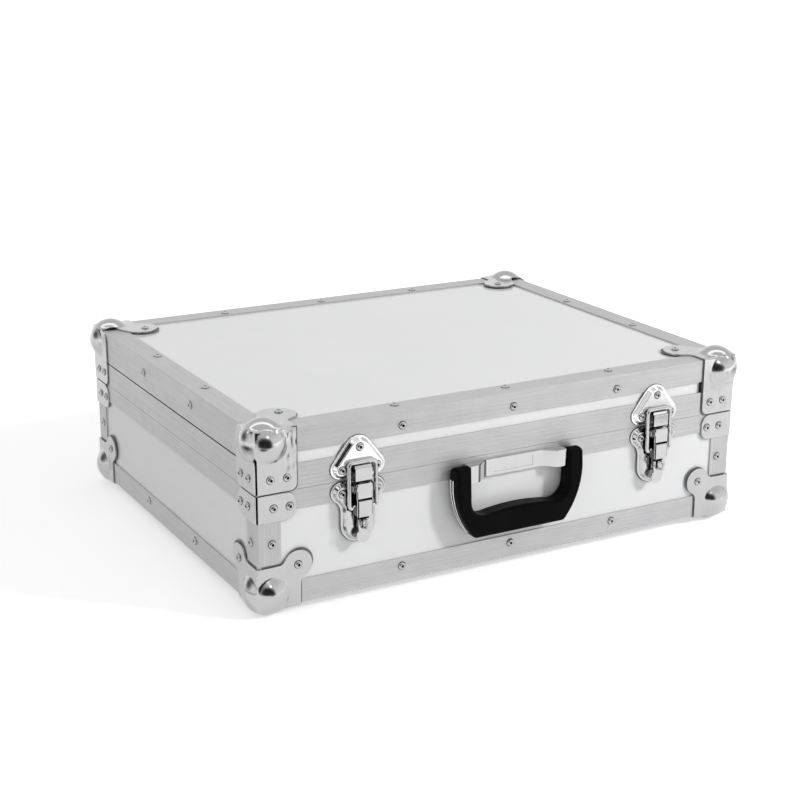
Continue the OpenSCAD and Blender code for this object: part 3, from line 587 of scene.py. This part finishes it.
def corner_sheet(width, height, edge, slit_from=None):
    """One face of a pressed corner, as a sheet spread from the foot of the ball to its edge."""
    side, edge_steps, slit_run = 18, 60, 1.5
    rim = [(0, height * (1 - i / side)) for i in range(side)] + [(width * i / side, 0) for i in range(side)]
    if slit_from:
        rim = [(SEAM * min(1, max(0, (v - slit_from) / slit_run)) if u == 0 else u, v) for u, v in rim]
    loop = rim + even_steps(edge, edge_steps)
    if slit_from:
        loop[-1] = loop[0]
    inner, last, rings = len(INNER_RINGS), len(loop) - 1, len(INNER_RINGS) + OUTER_RINGS
    bm = bmesh.new()
    bmesh.ops.create_grid(bm, x_segments=last, y_segments=rings - 1, size=1)
    for v in bm.verts:
        x, y = loop[round((v.co.x + 1) / 2 * last)]
        ring = round((v.co.y + 1) / 2 * (rings - 1))
        far = math.hypot(x - MIDDLE, y - MIDDLE)
        waist = min(WAIST, 0.8 * far)
        if ring < inner:
            reach = INNER_RINGS[ring] / WAIST * waist
        else:
            reach = waist + (far - waist) * (ring - inner + 1) / (rings - inner)
        v.co = (MIDDLE + (x - MIDDLE) * reach / far, MIDDLE + (y - MIDDLE) * reach / far, 0)
    return bm


def dented(bm):
    """Knocks in the front leg beside the ball, which fade out towards its ends and the ball."""
    near = [f for f in bm.faces if f.calc_center_median().y < 1 and 22 < f.calc_center_median().x
            and DENT_FROM < f.calc_center_median().z < DENT_TO]
    edges = list(dict.fromkeys(e for f in near for e in f.edges))
    bmesh.ops.subdivide_edges(bm, edges=edges, cuts=2, use_grid_fill=True)
    for v in bm.verts:
        x, y, z = v.co
        if y < 1:
            fade = min(1, max(0, (x - 26) / 6)) * min(1, max(0, (z - 2.5) / 3))
            fade *= min(1, max(0, (DENT_TO - z) / 9))
            v.co.y += DENT * fade * noise.noise(Vector((x / 3.4, 7.3, z / 9.0)))


def pressed_corner(front, side, flat, slit_from=None, knocked=False):
    """A whole pressed corner: two upright faces and a flat one round the ball."""
    bm = bmesh.new()
    for axes, (width, height, edge) in (((0, 2), front), ((1, 2), side)):
        face = corner_sheet(width, height, edge, slit_from)
        for v in face.verts:
            p = [0.0, 0.0, 0.0]
            p[axes[0]], p[axes[1]] = v.co.x, v.co.y
            v.co = p
        joined(bm, face)
    joined(bm, corner_sheet(*flat))
    for v in bm.verts:
        v.co = pressed(v.co)
    bmesh.ops.remove_doubles(bm, verts=bm.verts, dist=0.06)
    if knocked:
        dented(bm)
    bmesh.ops.recalc_face_normals(bm, faces=bm.faces)
    far = max(bm.faces, key=lambda f: -f.calc_center_median().length)
    if far.normal.dot(far.calc_center_median() - Vector((MIDDLE,) * 3)) < 0:
        bmesh.ops.reverse_faces(bm, faces=bm.faces)
    bmesh.ops.solidify(bm, geom=bm.faces[:], thickness=PLATE - 0.1)
    bmesh.ops.translate(bm, vec=(-PLATE,) * 3, verts=bm.verts)
    return bm


def corner_faces(top, grow=0.0):
    """The two upright faces and the flat one of a corner, as width, height and free edge."""
    width, height = [size + grow for size in (LID_LEG if top else BASE_LEG)]
    if top:
        front = (width, height, leg_edge(width, height))
        side = (width - SHOULDER, height, leg_edge(width, height, SHOULDER))
        flat_w, flat_h = width, width - SHOULDER
    else:
        front = side = (width, height, lobed_edge(width, height, LOBE_AT, 4.0, LOBE_R + grow))
        flat_w = flat_h = width
    return front, side, (flat_w, flat_h, lobed_edge(flat_w, flat_h, TONGUE_AT, 5.0, TONGUE_R + grow))


def set_corners():
    """The eight pressed corners; the lid's front left one is knocked."""
    for top, body in ((False, "base"), (True, "lid")):
        front, side, flat = corner_faces(top)
        for sx, sy in CORNERS:
            knocked = top and (sx, sy) == (-1, -1)
            bm = bmesh.new()
            corner = pressed_corner(front, side, flat, SLIT_FROM if top else None, knocked)
            joined(bm, corner, corner_place(sx, sy, top))
            name = "%s_corner_%s_%s" % (body, "front" if sy < 0 else "back", "left" if sx < 0 else "right")
            finished("ball_" + name, bm, body, [ball_chrome], [name], sharp=40)


def clip_outline(grow=0.0):
    """A clip from the open seam to its free end, which has two round corners."""
    start, end, low, high, r = SEAM - PLATE, 36 + grow, 79.55 - grow, 104.55 + grow, 9 + grow
    free_end = arc(end - r, low + r, r, -90, 0, 8) + arc(end - r, high - r, r, 0, 90, 8)
    return [(start, high), (start, low)] + free_end


def set_rim_clips():
    """Two clips at each corner of the base, one on each side of it, with a thin line of painted shade round
    their feet.
    """
    on_front = turned(90, "X")
    on_side = Matrix(((0, 1, 0, 0), (1, 0, 0, 0), (0, 0, 1, 0), (0, 0, 0, 1))) @ on_front
    bm = bmesh.new()
    for sx, sy in CORNERS:
        for place in (on_front, on_side):
            clip = slab(clip_outline(), PLATE)
            eased(clip, 0.45, 3)
            # A slightly larger dark sheet under each clip: painted shade where it meets the case.
            joined(clip, painted(slab(clip_outline(0.2), 0.07), SHADE))
            joined(bm, clip, corner_place(sx, sy, False) @ place)
    finished("rim_clips", bm, "base", [ball_chrome, joint_shade], ["base_rim_clips"])


def onto_axes(axes):
    """Turns a drawing so that its X, Y and Z lie along these axes."""
    return Matrix([[float(axes[column] == row) for column in range(3)] for row in range(3)]).to_4x4()


def contact_lines(top, place):
    """Painted shade round the edges of a corner where it meets the case, as thin sheets a little larger than
    its faces.
    """
    grow, thick, inner = 0.12, 0.06, 3
    bm = bmesh.new()
    for axes, (_, height, edge) in zip(((0, 2, 1), (1, 2, 0), (0, 1, 2)), corner_faces(top, grow)):
        outline = [(inner, inner)] + even_steps(edge, 80) + [(inner, height)]
        joined(bm, painted(slab(outline, -thick), SHADE), place @ onto_axes(axes))
    return bm


def lid_gap_shades():
    """Painted shade in the lid's gaps: dark lines along its sides, a dark notch at the end of its front
    strip, and a dark line along the bend of the knocked corner, as shade under its lifted flap.
    """
    bm = bmesh.new()
    for sx in (-1, 1):
        wall = sx * CASE_W / 2
        joined(bm, block((wall - 0.06, -200, 128.25), (wall + 0.06, 200, 129.5)))
    joined(bm, block((213.8, -CASE_D / 2 - 0.3, 128.4), (216.8, -CASE_D / 2 + 0.3, 139.2)))
    flap = Matrix.Translation((0, -1.03, -1.03)) @ turned(-45, "X")
    joined(bm, block((16, -0.35, -0.05), (38.4, 0.35, 0.05)), corner_place(-1, -1, True) @ flap)
    return bm


def set_seam_shades():
    """Thin dark strips behind the corners' open seams, where no light gets in, and round their edges."""
    thin, wide = 0.09, 3
    for body, top, low, high in (("base", False, 79.8, 104.3), ("lid", True, 24.0, 55.0)):
        bm = bmesh.new()
        for sx, sy in CORNERS:
            place = corner_place(sx, sy, top)
            for size in ((wide, thin), (thin, wide)):
                joined(bm, block((-thin, -thin, low), (*size, high)), place)
            joined(bm, contact_lines(top, place))
        if top:
            joined(bm, lid_gap_shades())
        finished(body + "_seam_shades", bm, body, [deep_shade, joint_shade])


# ---------------------------------------------------------------- rivets

# Half the section of a head, from the rim of its ring of painted shade to the bottom of its hole
RIVET_LINE = ((4.0, 0.02), (3.6, 0.05), (3.62, 0.45), (3.5, 0.9), (3.05, 1.38), (2.45, 1.7), (1.8, 1.86),
              (1.36, 1.86), (1.24, 1.74), (1.2, 0.5), (0.01, 0.5))
HOLE_R, SHADE_RING_H = 1.22, 0.1
GOLDEN_ANGLE = 137.5

def rivet_head():
    """Domed blind rivet with the hole that its mandrel left; the hole and a thin ring round its foot are
    painted shade.
    """
    bm = bmesh.new()
    points = [bm.verts.new((r, 0, h)) for r, h in RIVET_LINE]
    edges = [bm.edges.new(pair) for pair in zip(points, points[1:])]
    bmesh.ops.spin(bm, geom=points + edges, cent=(0, 0, 0), axis=(0, 0, 1), angle=math.tau, steps=20,
                   use_merge=True)
    bmesh.ops.remove_doubles(bm, verts=bm.verts, dist=0.03)
    bmesh.ops.recalc_face_normals(bm, faces=bm.faces)
    for f in bm.faces:
        # The hole and the ring at the foot take the dark material: painted shade.
        in_hole = max(v.co.xy.length for v in f.verts) < HOLE_R
        f.material_index = SHADE if in_hole or max(v.co.z for v in f.verts) < SHADE_RING_H else 0
    if sum(f.normal.z for f in bm.faces) < 0:
        bmesh.ops.reverse_faces(bm, faces=bm.faces)
    return bm


def rivet_seats(name):
    """Foot and outward direction of every rivet in a CAD node, in case millimetres and in a fixed order."""
    bm = bmesh.new()
    bm.from_mesh(node[name].data)
    bmesh.ops.transform(bm, matrix=STAND.inverted(), verts=bm.verts)
    bmesh.ops.remove_doubles(bm, verts=bm.verts, dist=0.02)
    seats, left = [], set(bm.verts)
    while left:
        group, edge = set(), [left.pop()]
        while edge:
            v = edge.pop()
            group.add(v)
            for e in v.link_edges:
                other = e.other_vert(v)
                if other in left:
                    left.discard(other)
                    edge.append(other)
        low = Vector([min(v.co[i] for v in group) for i in range(3)])
        high = Vector([max(v.co[i] for v in group) for i in range(3)])
        size = high - low
        thin = min(range(3), key=lambda i: size[i])
        middle = (low + high) / 2
        centre = (0, 0, CASE_H / 2)[thin]
        way = Vector((0, 0, 0))
        way[thin] = 1 if middle[thin] > centre else -1
        middle[thin] = low[thin] if way[thin] > 0 else high[thin]
        seats.append((middle, way))
    bm.free()
    return sorted(seats, key=lambda seat: tuple(seat[0]))


def set_rivets():
    """A head on every rivet of the CAD, each turned a little further than the last."""
    for body in ("base", "lid"):
        bm = bmesh.new()
        for foot, way in rivet_seats(body + "_rivets"):
            spin = turned(GOLDEN_ANGLE * len(bm.verts) / len(RIVET_LINE), "Z")
            stand = Matrix.Translation(foot) @ way.to_track_quat("Z", "Y").to_matrix().to_4x4()
            joined(bm, rivet_head(), stand @ spin)
        finished(body + "_rivet_heads", bm, body, [rivet_steel, deep_shade], [body + "_rivets"],
                 sharp=60)


# ---------------------------------------------------------------- draw latches

# Sections, as (out of the case, up the case)
HOOK_SECTION = ((4.6, 106.4), (11.8, 106.4), (12.6, 107.0), (12.6, 117.6), (12.1, 118.1), (11.0, 118.2),
                (10.9, 120.5), (5.0, 120.5), (5.0, 118.8), (9.0, 118.8), (9.0, 108.3), (4.6, 108.3))
UPPER_FACET = ((9.5, 104.6), (13.8, 104.6), (14.4, 103.9), (14.4, 91.3), (14.1, 91), (11.5, 91),
               (11.5, 102.9), (9.5, 102.9))
LOWER_FACET = ((11.5, 89.4), (14.7, 89.4), (15.4, 88.7), (15.4, 75), (14.9, 74.5), (8.8, 74.5),
               (8.8, 76), (13.7, 76), (13.7, 87.7), (11.5, 87.7))
CHEEK_SECTION = ((7, 97), (7, 101), (9.5, 103.6), (13.0, 103.4), (13.8, 102.5), (13.8, 91), (14.7, 90),
                 (14.7, 75.5), (9.2, 75.5), (5.6, 81.4), (5.6, 86.6))
NECK_SECTION = ((5.6, 74.5), (5.6, 68), (9.3, 65.5), (9.3, 74.5))

# Measures on the front board: Z is up the case and H is out of it
EAR_X, EAR_R, PLATE_EAR_Z, KEEPER_EAR_Z = 17.0, 9.5, 95.0, 116.5
PAN_H = 5.0
LEVER_Z, LEVER_H = 100.0, 10.0      # the lever's pin
BAIL_Z, BAIL_H = 84.0, 9.0          # the bail's ends in the lever
THUMB_Z = 55.6                      # the lever's thumb tab
EYE_Z, EYE_H, EYE_R, EYE_HOLE = 68.0, 15.8, 4.6, 3.0


def mirrored_outline(half):
    """A whole outline from its right half, which begins on the middle line."""
    return half + [(-x, y) for x, y in reversed(half[1:])]


def plate_outline():
    """Latch plate: two ears, hollow sides and a round lower lobe."""
    lobe_z, lobe_r, hollow = 64.5, 17.0, 14.0
    reach = lobe_r + hollow
    waist = PLATE_EAR_Z - math.sqrt((EAR_R + hollow) ** 2 - (reach - EAR_X) ** 2)
    turn = math.degrees(math.atan2(PLATE_EAR_Z - waist, EAR_X - reach))
    return mirrored_outline(arc(0, lobe_z, lobe_r, -90, 0, 12) + arc(reach, waist, hollow, 180, turn, 10)
                            + arc(EAR_X, PLATE_EAR_Z, EAR_R, turn - 180, 90, 16))


def keeper_outline():
    """Keeper: a round top over two ears."""
    top_z, top_r = PART_Z + 25.7, 14.0
    head = math.atan2(top_z - KEEPER_EAR_Z, -EAR_X)
    turn = math.degrees(head - math.acos((EAR_R - top_r) / math.hypot(EAR_X, top_z - KEEPER_EAR_Z)))
    return mirrored_outline([(0, KEEPER_EAR_Z - EAR_R)] + arc(EAR_X, KEEPER_EAR_Z, EAR_R, -90, turn, 12)
                            + arc(0, top_z, top_r, turn, 90, 8))


def with_shadow_line(bm, outline):
    """Adds a thin sheet of painted shade that runs round the foot of a pressed plate, where it meets the
    case.
    """
    middle = sum(y for x, y in outline) / len(outline)
    wider = [(x * 1.019, middle + (y - middle) * 1.016) for x, y in outline]
    joined(bm, painted(slab(wider, 0.1), SHADE))


def pressed_pan(outline, flange, skirt):
    """Sheet pressed into a raised pan with a flange round it, with the width of its sloping skirt."""
    lip = 1.2
    bm, face = sheet_from(outline)
    top = raised(bm, face, lip)
    bmesh.ops.inset_region(bm, faces=top, thickness=flange, use_even_offset=True)
    bmesh.ops.inset_region(bm, faces=top, thickness=skirt, depth=PAN_H - lip, use_even_offset=True)
    eased(bm, 0.5, 3, keep=lambda e: max(v.co.z for v in e.verts) > 0.1)
    return bm


def side_plate(outline, low, high):
    """A shape drawn in (out, up), extruded from one X to another on the front board."""
    bm = slab(outline, high - low)
    turn = Matrix(((0, 0, 1, low), (0, 1, 0, 0), (-1, 0, 0, 0), (0, 0, 0, 1)))
    flip = Matrix.Diagonal((1, 1, -1, 1))
    bmesh.ops.transform(bm, matrix=flip @ turn, verts=bm.verts)
    bmesh.ops.reverse_faces(bm, faces=bm.faces)
    return bm


def wire(points, radius, sides):
    """Round wire bent along a line of points."""
    line = bpy.data.curves.new("wire", "CURVE")
    line.dimensions, line.bevel_depth, line.bevel_resolution, line.use_fill_caps = "3D", radius, sides, True
    spline = line.splines.new("POLY")
    spline.points.add(len(points) - 1)
    for p, at in zip(spline.points, points):
        p.co = (*at, 1)
    holder = bpy.data.objects.new("wire", line)
    scene.collection.objects.link(holder)
    bm = shape_of(holder.evaluated_get(bpy.context.evaluated_depsgraph_get()))
    bpy.data.objects.remove(holder)
    bpy.data.curves.remove(line)
    bmesh.ops.remove_doubles(bm, verts=bm.verts, dist=0.001)
    bmesh.ops.recalc_face_normals(bm, faces=bm.faces)
    return bm


def latch_plate():
    """Plate with a well for bail and cheeks; it is dark where the closed lever keeps the light out."""
    well, floor = 13.2, 1.4
    bm = pressed_pan(plate_outline(), flange=1.6, skirt=2.2)
    bm = carved(bm, block((-well, BAIL_Z - 5, floor), (well, 120, 20)))
    bm.normal_update()
    # The well's floor takes the dark material: painted shade.
    for f in bm.faces:
        middle = f.calc_center_median()
        on_floor = f.normal.z > 0.9 and floor - 0.1 < middle.z < floor + 0.6 and abs(middle.x) < well + 0.1
        f.material_index = SHADE if on_floor else 0
    # Painted shade under the lever's neck, round the foot of the staple.
    joined(bm, painted(block((-6, EYE_Z - 7, PAN_H - 0.2), (6, EYE_Z + 7, PAN_H + 0.12)), SHADE))
    with_shadow_line(bm, plate_outline())
    cheek = arc(LEVER_H, LEVER_Z, 4.5, -75, 100, 10) + [(0.7, 104.2), (0.7, 92.5)]
    # The pivot cheeks take the dark chrome all over: painted shade.
    for low, high in ((-9.7, -8.2), (8.2, 9.7)):
        plate = side_plate(cheek, low, high)
        eased(plate, 0.3)
        joined(bm, painted(plate, SHADED_SIDES))
    return bm


def latch_keeper():
    """Keeper with the hook that the bail pulls on."""
    bm = pressed_pan(keeper_outline(), flange=1.8, skirt=2.4)
    with_shadow_line(bm, keeper_outline())
    hook = side_plate(HOOK_SECTION, -8.2, 8.2)
    eased(hook, 0.35)
    hook.normal_update()
    # The hook's side faces take the dark chrome: painted shade.
    for f in painted(hook, HOOK_PLATING).faces:
        if abs(f.normal.x) > 0.9:
            f.material_index = SHADED_SIDES
    joined(bm, hook)
    return bm


def latch_lever():
    """Stepped lever: barrel on its pin, two facets, side cheeks, slotted neck and thumb tab."""
    bm = side_plate(UPPER_FACET, -6.7, 6.7)
    joined(bm, side_plate(LOWER_FACET, -6.3, 6.3))
    eased(bm, 0.4)
    # A near-black web between the two facets: painted shade in the gap.
    joined(bm, painted(block((-7.1, 86, 11.0), (7.1, 103.6, 11.6)), SHADE))
    for low, high in ((-7.8, -7.0), (7.0, 7.8)):
        cheek = side_plate(CHEEK_SECTION, low, high)
        eased(cheek, 0.25)
        joined(bm, cheek)
    barrel = rod(4.4, 15.6)
    eased(barrel, 0.4, 2, 60)
    joined(bm, barrel, Matrix.Translation((-7.8, LEVER_Z, LEVER_H)) @ turned(90, "Y"))
    tab = slab([(-4.7, 75), (-4.7, 64)] + arc(0, THUMB_Z, 6.6, -232, 52, 28) + [(4.7, 64), (4.7, 75)], 1.6)
    eased(tab, 0.5, 3)
    slot = slab(arc(0, EYE_Z - 3, 2.8, 180, 360, 12) + [(2.8, 74.3), (-2.8, 74.3)], 4, -1)
    joined(bm, carved(tab, slot), Matrix.Translation((0, 0, 9.2)))
    for low, high in ((-4.7, -4.0), (4.0, 4.7)):
        joined(bm, side_plate(NECK_SECTION, low, high))
    # Every side face takes the dark chrome: painted shade.
    bm.normal_update()
    for f in bm.faces:
        if abs(f.normal.x) > 0.9:
            f.material_index = SHADED_SIDES
    # A dark strip under the lower facet: painted shadow.
    joined(bm, painted(block((-5.6, 71.2, 10.7), (5.6, 74.4, 10.95)), SHADE))
    return bm


def latch_bail():
    """Wire loop with turned-in ends, pulled in over the hook."""
    half, length, bend, r, tip_h = 13.0, 38.5, 3.2, 2.0, 7.6
    side = [(5.2, 0), (7.4, -0.3), (8.8, -1.4), (10.4, -2.0)] + arc(half - 2.6, 0.6, 2.6, -75, 0, 6)
    side += arc(half - bend, length - bend, bend, 0, 90, 8)
    loop = [(x, y, 0) for x, y in side] + [(-x, y, 0) for x, y in reversed(side)]
    bm = wire(loop, r, 5)
    tilt = math.asin((tip_h - BAIL_H) / length)
    lean = Matrix.Translation((0.8, BAIL_Z, BAIL_H)) @ Matrix.Rotation(tilt, 4, "X")
    bmesh.ops.transform(bm, matrix=lean, verts=bm.verts)
    return bm


def padlock_staple():
    """Ring that takes the padlock's shackle, on its foot."""
    ring = arc(EYE_H, EYE_Z, EYE_R, -100, 100, 20) + [(PAN_H, EYE_Z + EYE_R), (PAN_H, EYE_Z - EYE_R)]
    hole = rod(EYE_HOLE, 8)
    across = Matrix.Translation((-4, EYE_Z, EYE_H)) @ turned(90, "Y")
    bmesh.ops.transform(hole, matrix=across, verts=hole.verts)
    bm = carved(side_plate(ring, -1.3, 1.3), hole)
    eased(bm, 0.5, 3, 50)
    foot = block((-4, EYE_Z - 5.6, PAN_H), (4, EYE_Z + 5.6, PAN_H + 1.2))
    eased(foot, 0.4)
    joined(bm, foot)
    return bm


def set_latches():
    """Plate, keeper, lever and bail of both latches, and the staples."""
    staples = bmesh.new()
    for side, x in (("left", -LATCH_X), ("right", LATCH_X)):
        place = front_board(x)
        # The keeper takes the brighter chrome of painted light; the other parts take the plain latch chrome
        for shape, body, name, plating in (
                (latch_plate, "base", "latch_plate_", latch_chrome),
                (latch_keeper, "lid", "latch_keeper_", keeper_chrome_painted_light),
                (latch_lever, "lever_" + side, "latch_lever_", latch_chrome),
                (latch_bail, "bail_" + side, "latch_bail_", latch_chrome)):
            bm = bmesh.new()
            joined(bm, shape(), place)
            finished("formed_" + name + side, bm, body,
                     [plating, deep_shade, latch_chrome, shaded_chrome], [name + side])
        joined(staples, padlock_staple(), place)
    finished("formed_padlock_staples", staples, "base", [latch_chrome], ["padlock_staples"])


# ---------------------------------------------------------------- handle

BRACKET_Z = 84.6                # lower edge of the bracket
PIVOT_Z, ARM_R = 93.3, 8.5      # the grip's pins, and half the width of an arm there

def filleted(points, r, steps):
    """An open line of points with its corners rounded."""
    made = [points[0]]
    for before, at, after in zip(points, points[1:], points[2:]):
        at, back, on = Vector(at), Vector(before) - Vector(at), Vector(after) - Vector(at)
        half = back.angle(on) / 2
        reach = min(r / math.tan(half), 0.48 * back.length, 0.48 * on.length)
        middle = at + (back.normalized() + on.normalized()).normalized() * reach / math.cos(half)
        first, last = at + back.normalized() * reach - middle, at + on.normalized() * reach - middle
        made += [tuple(middle + first.slerp(last, i / steps) * first.length) for i in range(steps + 1)]
    return made + [points[-1]]


def set_bracket():
    """Bracket: two lugs that carry the grip, swept down to a pad with a bare label recess."""
    half, pad, lug, out, pad_t, high = 52.5, 31.0, 42.0, 12.0, 2.6, 16.5
    ramp = filleted([(0, pad_t), (pad, pad_t), (lug, out), (half - 1.2, out)], 5.5, 8)
    side = ramp + [(half, out - 1.0), (half, 0)]
    bm = slab(side + [(-x, y) for x, y in reversed(side)], high)
    bmesh.ops.transform(bm, matrix=Matrix.Translation((0, high, 0)) @ turned(90, "X"), verts=bm.verts)
    eased(bm, 0.7, 3, 60, keep=lambda e: (max(v.co.z for v in e.verts) > 0.1
                                          and abs(e.verts[0].co.y - e.verts[1].co.y) < 1))
    bm = carved(bm, block((-21, 3.55, pad_t - 0.45), (21, 12.95, 8)))
    # Two bands at the bends of the left ramp take the dark chrome: a painted reflection of the black grip, on
    # that ramp only.
    bm.normal_update()
    for f in bm.faces:
        ramp_painted_shade = 0.12 < f.normal.x < 0.56 and -half + 5 < f.calc_center_median().x < -pad + 5
        f.material_index = SHADE if ramp_painted_shade else 0
    moved = bmesh.new()
    joined(moved, bm, front_board(0, BRACKET_Z))
    finished("handle_strip", moved, "base", [bracket_chrome, shaded_chrome], ["handle_bracket"])


def grip_outline():
    """Front view: arms on curved flanks and a bar whose upper edge is crowned."""
    half, flank_r, low, foot_r, inner, arm_w, crown = 67.8, 76.8, 33.0, 5.0, 52.4, 16.0, 3.2
    shoulder, top = PIVOT_Z - 9, PIVOT_Z + ARM_R
    sweep = math.asin((shoulder - low - foot_r) / (flank_r - foot_r))
    toe_x = half - flank_r + (flank_r - foot_r) * math.cos(sweep)
    bar_top = low + 24
    span = inner - arm_w
    bar_r = (span ** 2 + crown ** 2) / (2 * crown)
    turn = math.degrees(math.asin(span / bar_r))
    right = arc(0, bar_top - bar_r, bar_r, 90, 90 - turn, 8)
    right += list(reversed(arc(inner - arm_w + 1, bar_top - crown + arm_w - 1, arm_w - 1, 0, -78, 8)))
    right += [(inner, top - 3)] + arc(inner + 3, top - 3, 3, 180, 90, 4) + arc(half - 4, top - 4, 4, 90, 0, 5)
    right += arc(half - flank_r, shoulder, flank_r, 0, -math.degrees(sweep), 16)
    right += arc(toe_x, low + foot_r, foot_r, -math.degrees(sweep), -90, 6)[1:]
    return right + [(-x, y) for x, y in reversed(right[1:])]


def set_grip():
    """The grip, which is round over its pins."""
    middle = 9.5
    bm = slab(grip_outline(), 17.0, 0.6)
    eased(bm, 3.2, 5, 60)
    for v in bm.verts:
        rise = v.co.y - PIVOT_Z
        if rise > 0:
            depth = math.sqrt(max(ARM_R ** 2 - rise ** 2, 0.4))
            v.co.z = middle + (v.co.z - middle) * depth / ARM_R
    moved = bmesh.new()
    joined(moved, bm, front_board())
    finished("grip_moulding", moved, "grip", [grip_plastic], ["handle_grip"], sharp=50)


def set_grip_beads():
    """Two chrome wires let into the outer side of each arm."""
    bm = bmesh.new()
    for side in (-1, 1):
        for h in (4.6, 8.6):
            line = [(67.75, 89.5), (67.75, 86.5)] + arc(-9, 84.3, 76.75, 0, -38, 24)
            joined(bm, wire([(side * x, y, h) for x, y in line], 0.85, 3), front_board())
    finished("grip_beads", bm, "grip", [bracket_chrome], ["handle_trim"])


# ---------------------------------------------------------------- the CAD's own nodes

def finish_node(name, made):
    """Gives a CAD node its material, and leaves its mesh alone."""
    if node[name].material_slots:
        for place in node[name].material_slots:
            place.material = made
    else:
        node[name].data.materials.append(made)


def finish_nodes():
    for name in node:
        if "panel" in name:
            finish_node(name, laminate)
        elif "lining" in name:
            finish_node(name, foam)
        elif "edge" in name or "rim_" in name and "clips" not in name:
            finish_node(name, alu_x if name.endswith(("front", "back")) else alu_y)
        elif name == "base_posts":
            finish_node(name, alu_z)
        elif "leaves" in name:
            finish_node(name, hinge_chrome)
        elif "pins" in name:
            finish_node(name, pin_steel)
        elif name == "handle_grip":
            finish_node(name, grip_plastic)
        else:
            finish_node(name, latch_chrome)


set_corners()
set_rim_clips()
set_seam_shades()
set_rivets()
set_latches()
set_bracket()
set_grip()
set_grip_beads()
finish_nodes()
